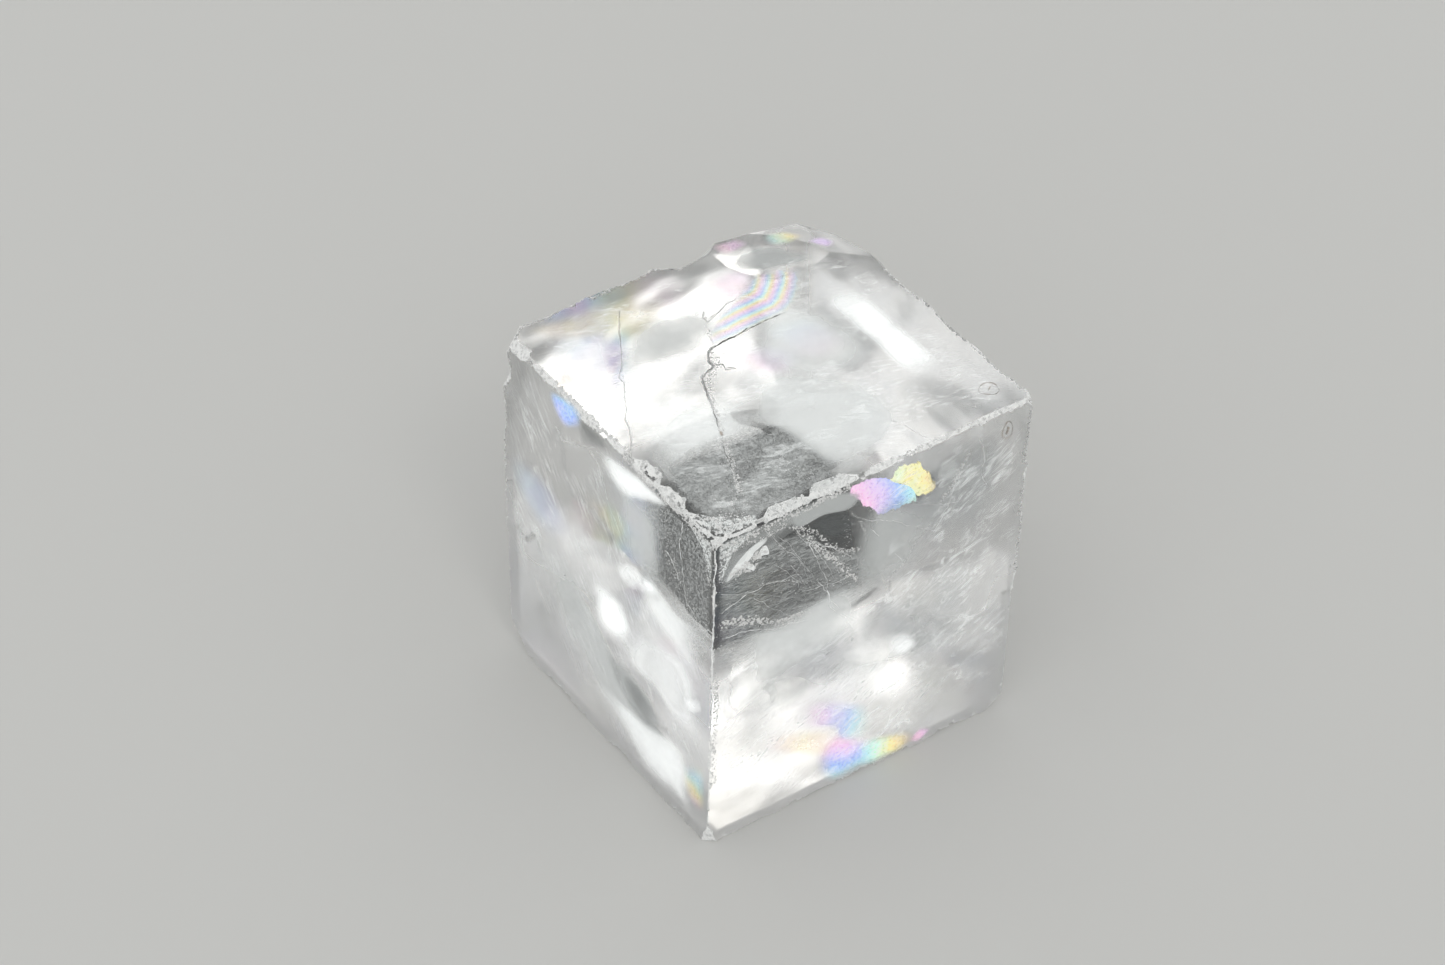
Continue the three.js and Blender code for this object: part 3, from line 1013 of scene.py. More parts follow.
dust = {
    "depth": -0.04,  # mm
    "spacing": 0.07,  # mm
    "spread": 1.0,  # share of the half width that they stray
    "size": (0.04, 0.3),  # share of the half width
    "flatness": 0.4,
    "corners": 8,
    "seed": 33,
    "lines": [
        ["front", 0.7, [(7.1, 30.2), (8.9, 27.6), (10.8, 25.7), (12.2, 23.5)]],
        ["front", 0.35, [(8.6, 27.7), (9.8, 26.4), (10.9, 24.6), (11.6, 23.0)]],
        ["front", 0.45, [(8.8, 27.7), (11.2, 25.6), (13.2, 23.4)]],
        ["front", 0.5, [(11.7, 28.3), (12.5, 27.0), (11.9, 25.6)]],
        ["front", 0.6, [(6.5, 24.0), (8.7, 23.4), (10.9, 23.0), (12.8, 21.5)]],
        ["front", 0.4, [(4.6, 31.0), (5.9, 28.7), (7.2, 27.2), (8.4, 24.8)]],
        ["front", 0.5, [(0.8, 27.7), (1.9, 28.6), (3.4, 28.8), (4.8, 29.2)]],
        ["front", 0.5, [(0.4, 23.2), (3.2, 22.4), (6.6, 20.6), (9.0, 20.4)]],
        ["front", 0.35, [(0.3, 31.6), (0.4, 29.0), (0.3, 26.0), (0.3, 20.0)]],
        ["left", 0.3, [(0.3, 31.6), (0.4, 29.0), (0.3, 26.0), (0.3, 22.0)]],
        ["left", 0.8, [(6.4, 30.6), (5.4, 26.0), (3.0, 23.4), (1.0, 22.6)]],
        ["top", 0.6,
         [(10.6, 15.6), (9.2, 13.4), (8.2, 11.2), (6.4, 8.0), (5.6, 6.1), (4.8, 4.5), (4.5, 3.4)]],
        ["top", 0.5, [(9.2, 5.1), (9.0, 3.9), (9.8, 2.1), (9.9, 1.3)]],
        ["top", 1.0, [(0.6, 0.6), (2.4, 1.6), (3.6, 3.0), (4.6, 3.6)]],
    ],
}

# painted shade: near-black grains along the cracks, standing in for their shadow
paintedCrackShade = {
    "tones": [(0.006, 0.006, 0.005, 1), (0.04, 0.038, 0.034, 1)],
    "clear": 0.0,
    "roughness": 0.9,
    "paintedGlow": 0.0,
    "depth": 0.0,  # mm
    "spacing": 0.06,  # mm
    "spread": 0.6,  # share of the half width that they stray
    "size": (0.8, 2.4),  # share of the half width
    "flatness": 0.5,
    "corners": 9,
    "seed": 9,
    "lines": [
        ["top", 0.05, cracks["lines"][1][1]],
        ["front", 0.06, [(13.4, 31.7), (13.6, 30.9), (13.7, 30.1), (14.2, 29.4)]],
        ["front", 0.07, [(15.8, 30.2), (16.5, 29.7), (17.3, 29.1)]],
        ["front", 0.06, [(18.2, 30.0), (18.0, 28.5)]],
        ["front", 0.06, [(5.2, 30.6), (6.0, 30.9), (6.8, 31.2)]],
    ],
}


def makeFlakes():
    whiteTrail = trailTree("flakeTrail", crumbMaterial("flakeWhite", flakes))
    strew("whiteFlakes", whiteTrail, flakes)
    strew("whiteDust", whiteTrail, dust)
    # painted shade in the cracks
    dark = crumbMaterial("crackGrime", paintedCrackShade, {"Specular IOR Level": 0.1})
    strew("crackGrime", trailTree("paintedShadeTrail", dark), paintedCrackShade)


makeFlakes()
print("grains made")

hairs = {  # fine healed cracks and scratches
    "tones": [(0.8, 0.82, 0.83, 1), (1, 1, 1, 1)],
    "clear": 0.1,
    "roughness": 0.4,
    # painted glow: emission that brightens the hairlines and the edge line
    "paintedGlow": 0.1,
    "taper": 0.75,  # share of its width that a hair loses along its way
    "seamTaper": 0.3,
    "wander": 0.16,  # mm
    "wanderScale": 900.0,
    "spacing": 0.15,  # mm
    "sides": 5,
    "thickness": (0.4, 1.3),  # share of its own width, thinnest and thickest
    "seed": 3,
    "lines": [  # face, depth in mm, half width in mm, places on the face
        ["front", -0.03, 0.022, [(8.5, 27.7), (9.54, 26.2), (10.28, 24.6), (10.9, 23.0)]],
        ["front", -0.03, 0.028, [(8.5, 27.6), (9.23, 26.0), (9.73, 24.5), (10.3, 23.2), (10.5, 21.4)]],
        ["front", -0.03, 0.026, [(8.76, 27.6), (10.1, 26.3), (10.8, 24.7), (11.7, 22.7)]],
        ["front", -0.03, 0.024, [(8.76, 27.7), (9.84, 26.9), (11.2, 25.7), (13.1, 23.7)]],
        ["front", -0.03, 0.018, [(8.94, 27.5), (10.5, 26.3), (12.2, 24.6), (13.9, 22.6)]],
        ["front", -0.03, 0.016, [(9.3, 27.1), (10.6, 25.6), (11.5, 24.4), (12.4, 23.4)]],
        ["front", -0.03, 0.022, [(8.8, 27.5), (8.3, 27.8), (7.6, 28.8), (7.1, 29.6)]],
        ["front", -0.03, 0.02,
         [(4.6, 31.0), (5.1, 29.9), (5.9, 28.7), (7.2, 27.2), (8.2, 25.6), (8.5, 24.5), (8.5, 23.5)]],
        ["front", -0.03, 0.016, [(5.7, 29.8), (6.5, 28.9), (7.2, 27.4), (8.6, 25.1), (9.2, 23.8)]],
        ["front", -0.03, 0.014, [(5.5, 27.0), (6.6, 25.8), (7.6, 24.2), (8.5, 22.2)]],
        ["front", -0.03, 0.014, [(6.8, 26.3), (7.8, 24.8), (8.5, 23.0)]],
        ["front", -0.03, 0.014, [(0.6, 26.7), (3.0, 25.5), (5.6, 23.8), (7.4, 22.7)]],
        ["front", -0.03, 0.016, [(3.6, 24.7), (5.0, 23.1), (6.6, 21.5), (7.7, 20.4)]],
        ["front", -0.03, 0.026, [(9.6, 23.2), (10.6, 21.2), (12.0, 18.9), (13.4, 17.3)]],
        ["front", -0.03, 0.02, [(12.7, 22.3), (10.9, 22.5), (8.7, 22.8), (7.4, 23.1)]],
        ["front", -0.03, 0.043,
         [(10.41, 21.87), (10.7, 20.9), (10.87, 20.09), (11.5, 19.1), (12.36, 18.27), (13.21, 16.46)]],
        ["front", -0.03, 0.029, [(13.23, 27.5), (14.6, 25.6), (16.0, 23.4), (17.31, 21.38)]],
        ["front", -0.03, 0.02, [(13.4, 27.6), (16.2, 26.0), (18.9, 24.0), (20.97, 22.57)]],
        ["front", -0.03, 0.02, [(14.0, 28.1), (17.5, 27.2), (20.5, 25.6), (22.67, 24.75)]],
        ["front", -0.03, 0.029, [(24.0, 30.2), (24.6, 28.6), (24.3, 27.0), (24.86, 25.4)]],
        ["front", -0.03, 0.023, [(23.1, 29.2), (22.0, 27.0), (21.4, 24.9), (20.2, 22.8)]],
        ["front", -0.03, 0.032, [(0.71, 24.6), (2.9, 25.3), (5.6, 25.4), (8.2, 24.8)]],
        ["front", -0.03, 0.026, [(0.9, 21.9), (3.4, 21.6), (6.0, 20.3), (8.8, 19.9)]],
        ["left", -0.03, 0.034,
         [(3.9, 31.1), (4.3, 28.6), (3.8, 25.7), (3.3, 23.4), (1.9, 22.9), (0.2, 22.2)]],
        ["left", -0.03, 0.04, [(6.0, 26.6), (5.0, 26.1), (4.1, 25.0)]],
        ["left", -0.03, 0.022, [(2.1, 31.0), (2.3, 29.8), (3.1, 28.1)]],
        ["left", -0.03, 0.014, [(1.2, 30.2), (1.6, 27.6), (1.3, 25.2), (0.5, 23.6)]],
        ["left", -0.03, 0.032, [(20.42, 28.11), (19.36, 27.39), (17.09, 28.59), (15.11, 29.86)]],
        ["left", -0.03, 0.023, [(15.8, 29.2), (14.2, 27.6), (13.6, 25.8)]],
        ["left", -0.03, 0.023, [(14.9, 29.6), (13.2, 28.9), (11.9, 28.9)]],
        ["top", 0.03, 0.02, [(18.43, 4.09), (19.06, 2.62), (19.23, 1.05), (20.32, 0.3)]],
        ["top", 0.03, 0.028,
         [(18.4, 22.0), (19.3, 21.8), (20.23, 21.7), (21.39, 21.36), (22.38, 21.42), (23.3, 21.52)]],
        ["top", 0.03, 0.018, [(8.9, 10.9), (10.2, 10.2), (11.4, 9.1)]],
        ["top", 0.03, 0.014, [(7.9, 7.6), (9.4, 7.7), (10.9, 7.0), (12.1, 6.9)]],
        ["top", 0.0, 0.035, [(19.33, 17.81), (20.45, 18.06), (21.67, 19.08), (22.72, 20.37), (23.3, 21.4)]],
    ],
    "edge": [  # the same for the bruised white line down the blunt upright edge
        ["front", 0.0, 0.06, [(0.05, 30.4), (0.05, 24.0), (0.05, 17.0), (0.05, 10.0), (0.05, 6.6)]],
    ],
    "seams": [  # and for the painted shade in the cores of the open cracks
        ["top", -0.01, 0.012, cracks["lines"][0][1]],
        ["top", -0.03, 0.028, cracks["lines"][1][1]],
        ["top", 0.0, 0.06, [(12.24, 17.6), (14.55, 17.73), (17.0, 17.92), (19.33, 17.91)]],
        ["top", 0.0, 0.025,
         [(14.29, 21.25), (13.76, 20.76), (13.8, 20.17), (14.78, 20.5), (16.03, 21.08), (17.0, 21.14)]],
        ["top", -0.01, 0.025, cracks["lines"][2][1]],
    ],
}


def hairTree(material):
    tree, start, end = newTree("hairLine", {
        "Spacing": 0.15 * mm, "Wander": 0.05 * mm, "Wander Scale": 1400.0, "Taper": 0.5,
    })
    place = addNode(tree, "GeometryNodeInputPosition").outputs[0]
    noise = addNode(tree, "ShaderNodeTexNoise", {
        "Vector": place, "Scale": start["Wander Scale"], "Detail": 2.0,
    }).outputs["Color"]
    centred = vector2(tree, "SUBTRACT", noise, (0.5, 0.5, 0.5))
    bent = addNode(tree, "GeometryNodeSetPosition", {
        "Geometry": resampled(tree, start["Geometry"], start["Spacing"]),
        "Offset": scaled(tree, centred, times(tree, start["Wander"], 4.0)),  # the noise reaches a quarter
    }).outputs[0]
    ring = addNode(tree, "GeometryNodeCurvePrimitiveCircle", {"Resolution": hairs["sides"], "Radius": 1.0})
    radius = addNode(tree, "GeometryNodeInputRadius").outputs[0]
    along = addNode(tree, "GeometryNodeSplineParameter").outputs["Factor"]
    thinner = minus(tree, 1.0, times(tree, along, start["Taper"]))
    uneven = times(tree, radius, thinner, randomValue(tree, *hairs["thickness"], hairs["seed"]))
    tube = addNode(tree, "GeometryNodeCurveToMesh", {
        "Curve": bent, "Profile Curve": ring.outputs[0], "Scale": uneven, "Fill Caps": True,
    }).outputs[0]
    endTree(tree, end, tube, material)
    return tree


def ringPlaces(centre, radii):
    # a closed ring, with a place every 20 degrees
    turns = [math.radians(angle) for angle in range(0, 361, 20)]
    return [(centre[0] + radii[0] * math.cos(t), centre[1] + radii[1] * math.sin(t)) for t in turns]


stains = {  # iron brown: two ring pits and the stain in the long crack
    "tones": [(0.2, 0.09, 0.035, 1), (0.42, 0.3, 0.2, 1)],
    "clear": 0.0,
    "roughness": 0.7,
    "paintedGlow": 0.0,
    "cover": 0.4,
    "lines": [  # as the hairs are listed
        ["top", 0.0, 0.035, ringPlaces((26.67, 2.54), (0.72, 0.72))],
        ["front", 0.0, 0.045, ringPlaces((26.63, 29.87), (0.5, 0.75))],
        ["front", 0.0, 0.09, [(26.5, 29.6), (26.7, 30.1)]],
        ["top", -0.06, 0.13, [(7.15, 9.1), (7.3, 9.6)]],
        ["top", 0.0, 0.05, [(26.5, 2.4), (26.9, 2.7)]],
    ],
}


def growHairs(name, rows, taper, material):
    lines = [(width, [onSkin(face, a, b, depth) for a, b in places]) for face, depth, width, places in rows]
    paths = pathObject(name + "Paths", lines)
    mesh = growMesh(paths, hairTree(material), {
        "Spacing": hairs["spacing"] * mm,
        "Wander": hairs["wander"] * mm,
        "Wander Scale": hairs["wanderScale"],
        "Taper": taper,
    }, name)
    bpy.data.objects.remove(paths)
    finishPiece(newObject(name, mesh))


def makeHairs():
    white = crumbMaterial("hairWhite", hairs)
    growHairs("hairLines", hairs["lines"], hairs["taper"], white)
    growHairs("edgeLine", hairs["edge"], 0.0, white)
    growHairs("darkSeams", hairs["seams"], hairs["seamTaper"], bpy.data.materials["crackGrime"])
    brown = crumbMaterial("ironBrown", stains, {"Alpha": stains["cover"]})
    growHairs("ironStains", stains["lines"], 0.0, brown)


makeHairs()
print("hairlines made")

lens = {  # rainbow films and veils are thin closed lenses; the films and the milky veils are where the crystal has begun to part, a dark veil is painted shade and a veil's glow a painted highlight
    "rings": 7,
    "segments": 40,
    "halfThick": 0.012,  # mm
    "margin": 0.15,  # mm kept clear of the face's edges
}


def smoothLoop(places, count):
    # evenly stepped places round a smooth closed line through the given ones
    around = len(places)
    loop = []
    for step in range(count):
        start, part = divmod(step * around / count, 1)
        before, a, b, after = (Vector(places[(int(start) + k) % around]) for k in (-1, 0, 1, 2))
        bend = (2 * before - 5 * a + 4 * b - after) * part ** 2 + (3 * a - before - 3 * b + after) * part ** 3
        loop.append(a + ((b - before) * part + bend) / 2)
    return loop


def distanceTo(line, place):
    # from a place on a face to a line of straight stretches, in mm
    best = math.inf
    for a, b in zip(line, line[1:]):
        a, b = Vector(a), Vector(b)
        share = max(0, min(1, (place - a).dot(b - a) / (b - a).length_squared))
        best = min(best, (a.lerp(b, share) - place).length)
    return best


def lensPatches(name, material, patches, mark):
    # mark gives a vertex its attributes from its patch, its place and how far out it is
    bm = bmesh.new()
    layers = {}
    for patch in patches:
        face = patch["face"]
        limits = [sizes[way] - lens["margin"] for way in faceWays[face][:2]]
        loop = [Vector([min(max(part, lens["margin"]), limit) for part, limit in zip(place, limits)])
                for place in smoothLoop(patch["outline"], lens["segments"])]
        centre = sum(loop, Vector((0, 0))) / len(loop)

        def addVertex(place, out, side):
            lift = side * lens["halfThick"] * (1 - out * out)
            vertex = bm.verts.new(onSkin(face, place.x, place.y, patch["depth"] - lift))
            for label, value in mark(patch, place, out).items():
                layers.setdefault(label, []).append(value)
            return vertex

        rim = [addVertex(place, 1, 0) for place in loop]
        for side in (1, -1):
            rings = [rim]
            for ring in range(lens["rings"] - 1, 0, -1):
                out = ring / lens["rings"]
                rings.append([addVertex(centre.lerp(place, out), out, side) for place in loop])
            middle = addVertex(centre, 0, side)
            pairs = list(enumerate([*range(1, len(loop)), 0]))
            for outer, inner in zip(rings, rings[1:]):
                for k, after in pairs:
                    bm.faces.new((outer[k], outer[after], inner[after], inner[k]))
            for k, after in pairs:
                bm.faces.new((rings[-1][k], rings[-1][after], middle))
    bmesh.ops.recalc_face_normals(bm, faces=bm.faces)
    mesh = takeMesh(bm, name)
    for label, values in layers.items():
        mesh.attributes.new(label, "FLOAT", "POINT").data.foreach_set("value", values)
    mesh.materials.append(material)
    finishPiece(newObject(name, mesh))
    for face in mesh.polygons:
        face.use_smooth = True


def fade(out, solid):
    # 1 in the middle of a lens and 0 at its rim; solid is the share of the way out that is fully covered
    share = max(0, (out - solid) / (1 - solid))
    return 1 - share * share * (3 - 2 * share)


films = {
    "clear": 0.0,
    # painted glow: the films shine in their own colour
    "paintedGlow": 0.3,
    "solid": 0.3,
    "seriesShift": 4.0,  # whole turns, so that it never falls below nought
    "roughness": 0.35,
    "fineScale": 3500.0,
    "paleFine": (0.4, 0.75, 0.0, 0.3),  # fine noise from and to, and how pale it turns the colour
    "thinFine": (0.2, 0.5, 0.55, 1.0),  # the same for its cover
    "seriesWander": (700.0, 0.22, 4.0),  # noise scale, turns that it moves the series, detail
    "torn": (1.6, 0.9, 5.0),  # noise scale per mm, how deep it tears a crisp edge, detail
    "tornRise": 0.35,  # how much slower it changes up the crystal
    "crispEdge": (0.12, 0.2),
    "colours": [  # place in the series, colour
        (0.0, (1.0, 0.64, 0.9, 1)), (0.17, (0.78, 0.66, 1.0, 1)), (0.33, (0.42, 0.58, 1.0, 1)),
        (0.45, (0.5, 0.86, 1.0, 1)), (0.57, (0.68, 0.97, 0.86, 1)), (0.7, (1.0, 0.9, 0.42, 1)),
        (0.82, (1.0, 0.78, 0.52, 1)), (1.0, (1.0, 0.64, 0.9, 1)),
    ],
    # face, depth in mm, cover, crispness, line where the series starts, its start, its change per mm, outline
    "patches": [
        ["front", 0.0, 0.9, 1.0, [(12.0, 31.9), (13.4, 28.8)], -0.02, 0.11,
         [(11.3, 31.6), (13.0, 32.0), (14.7, 31.4), (15.9, 30.5), (17.3, 29.3), (18.6, 28.2), (18.8, 26.6),
          (16.9, 26.8), (15.3, 26.8), (13.7, 28.3), (12.3, 29.9)]],
        ["front", 0.0, 0.95, 1.0, [(20.6, 30.0), (20.6, 26.5)], 0.74, -0.025,
         [(15.3, 30.4), (16.4, 31.5), (18.1, 31.0), (19.1, 29.8), (20.4, 27.2), (18.8, 26.8), (17.9, 28.1),
          (17.0, 29.1)]],
        ["front", 0.0, 0.5, 0.0, [(9.0, 10.4), (9.0, 8.8)], 0.98, 0.08,
         [(8.8, 10.8), (11.0, 10.3), (12.8, 9.2), (14.8, 7.6), (15.8, 5.0), (14.6, 3.0), (12.8, 4.0),
          (11.6, 6.4), (8.9, 8.3)]],
        ["front", 0.0, 0.3, 0.0, [(9.0, 7.4), (9.1, 4.8)], 0.74, 0.05,
         [(5.4, 9.2), (8.6, 8.4), (12.2, 6.2), (13.0, 3.4), (11.0, 3.6), (7.6, 5.6), (5.0, 7.8)]],
        ["front", 0.0, 0.95, 0.0, [(11.2, 5.2), (13.8, 4.4)], 0.0, 0.12,
         [(10.4, 5.2), (12.2, 6.0), (14.2, 4.6), (15.8, 2.8), (15.8, 0.8), (13.0, 0.2), (11.4, 0.8),
          (10.3, 3.0)]],
        ["front", 0.0, 0.95, 0.0, [(14.0, 3.1), (14.3, 1.3)], 0.46, 0.07,
         [(13.6, 3.2), (15.6, 3.5), (17.4, 2.9), (19.4, 2.1), (20.0, 0.8), (18.4, 0.05), (16.9, 0.1),
          (15.2, 0.3), (13.8, 1.2)]],
        ["front", 0.0, 0.6, 0.0, [(19.0, 0.9), (19.0, 1.2)], 0.95, 0.05,
         [(19.4, 0.9), (20.4, 1.8), (21.6, 1.0), (20.4, 0.2)]],
        ["left", 0.0, 0.14, 0.0, [(26.0, 20.0), (26.0, 16.0)], 0.4, -0.02,
         [(26.4, 21.0), (21.0, 21.6), (18.0, 18.4), (22.0, 15.6), (26.6, 17.6)]],
        ["left", 0.0, 0.35, 0.0, [(3.4, 6.4), (0.4, 6.4)], 0.42, 0.16,
         [(3.4, 6.2), (0.6, 8.0), (0.4, 3.6), (2.0, 2.6), (3.6, 4.2)]],
        ["left", -0.01, 1.0, 0.0, [(20.9, 31.5), (17.7, 31.5)], 0.38, -0.04,
         [(21.2, 31.0), (19.4, 31.8), (17.1, 31.6), (17.2, 30.3), (19.3, 28.8), (20.8, 29.7)]],
        ["top", 0.0, 0.45, 0.3,
         [(12.2, 17.6), (14.6, 17.6), (16.8, 17.8), (19.3, 17.8), (20.5, 18.3), (21.9, 19.5), (22.8, 20.5),
          (23.4, 21.4)], 0.8, -0.95,
         [(12.0, 17.6), (14.6, 17.6), (16.8, 17.65), (19.4, 17.75), (20.6, 18.2), (22.0, 19.3),
          (23.2, 20.6), (23.6, 21.6), (21.6, 23.0), (19.4, 22.6), (17.4, 21.4), (15.2, 20.6),
          (12.8, 19.2)]],
        ["top", 0.0, 0.4, 0.0, [(23.5, 26.5), (23.5, 25.5)], 0.5, 0.1,
         [(23.6, 26.8), (25.6, 26.6), (26.5, 25.2), (24.9, 24.6), (23.4, 25.4)]],
        ["top", 0.0, 0.5, 0.0, [(26.2, 24.2), (26.2, 23.2)], 0.12, 0.0,
         [(26.0, 24.2), (27.3, 24.5), (28.0, 23.2), (26.8, 22.4)]],
        ["top", 0.0, 0.3, 0.0, [(19.4, 27.6), (19.4, 26.4)], 0.96, 0.05,
         [(19.2, 27.4), (21.6, 27.5), (22.2, 26.4), (19.6, 26.0)]],
        ["top", 0.0, 0.22, 0.0, [(16.4, 24.0), (16.4, 22.0)], 0.95, 0.03,
         [(15.6, 23.8), (18.6, 24.4), (20.4, 23.4), (18.4, 21.0), (16.0, 21.0)]],
        ["top", 0.0, 0.2, 0.0, [(17.6, 17.4), (20.0, 17.4)], 0.55, -0.12,
         [(16.8, 17.6), (19.8, 17.4), (21.2, 15.6), (21.4, 12.0), (18.4, 11.0), (16.4, 14.0)]],
        ["top", 0.0, 0.22, 0.0, [(13.4, 15.6), (14.0, 12.4)], 0.95, 0.1,
         [(12.8, 16.2), (16.4, 15.6), (17.8, 13.2), (15.4, 11.8), (13.0, 13.2)]],
        ["top", 0.0, 0.2, 0.0, [(0.3, 27.0), (0.3, 20.0)], 0.8, -0.003,
         [(1.4, 27.0), (4.6, 27.0), (9.4, 26.6), (11.0, 23.8), (7.6, 22.0), (5.4, 22.6), (2.4, 25.0)]],
    ],
}


def patchMarks(tree, labels):
    nodes = [addNode(tree, "ShaderNodeAttribute", attribute_name="patch" + label) for label in labels]
    return [node.outputs["Fac"] for node in nodes]


def seriesColour(tree, series):
    colours = addNode(tree, "ShaderNodeValToRGB", {"Fac": series})
    stops = colours.color_ramp.elements
    while len(stops) < len(films["colours"]):
        stops.new(0.5)
    for stop, (position, colour) in zip(stops, films["colours"]):
        stop.position = position
        stop.color = colour
    return colours.outputs["Color"]


def filmMaterial():
    material, tree, inputs = mattMaterial("rainbowFilm", films)
    place = objectPlace(tree)
    cover, faded, start, crisp = patchMarks(tree, ("Cover", "Fade", "Series", "Crisp"))
    lattice = placeGroup(tree, latticeGroup, {"Position": place}).outputs
    fine = placeGroup(tree, grainGroup, {"Position": place, "Scale": films["fineScale"]}).outputs["Height"]
    series = plus(tree, start, stray(tree, place, *films["seriesWander"]))
    colour = seriesColour(tree, math2(tree, "FRACT", series))
    pale = mixColour(tree, ramp(tree, fine, *films["paleFine"]), colour, (1, 1, 1, 1))
    feed(tree, inputs["Base Color"], pale)
    # painted glow in the films' own rainbow colour
    feed(tree, inputs["Emission Color"], pale)
    slow = joined(tree, lattice["Front"], lattice["Side"], times(tree, lattice["Rise"], films["tornRise"]))
    torn = ramp(tree, plus(tree, faded, stray(tree, slow, *films["torn"])), *films["crispEdge"])
    edge = addNode(tree, "ShaderNodeMix", {0: crisp, 2: faded, 3: torn}, data_type="FLOAT").outputs[0]
    feed(tree, inputs["Alpha"], times(tree, edge, cover, ramp(tree, fine, *films["thinFine"])))
    return material


def markFilm(patch, place, out):
    series = patch["start"] + patch["perMm"] * distanceTo(patch["line"], place)
    return {
        "patchFade": fade(out, films["solid"]),
        "patchCover": patch["cover"],
        "patchCrisp": patch["crisp"],
        "patchSeries": series + films["seriesShift"],
    }


def makeFilms():
    labels = ("face", "depth", "cover", "crisp", "line", "start", "perMm", "outline")
    patches = [dict(zip(labels, row)) for row in films["patches"]]
    lensPatches("rainbowFilms", filmMaterial(), patches, markFilm)


makeFilms()

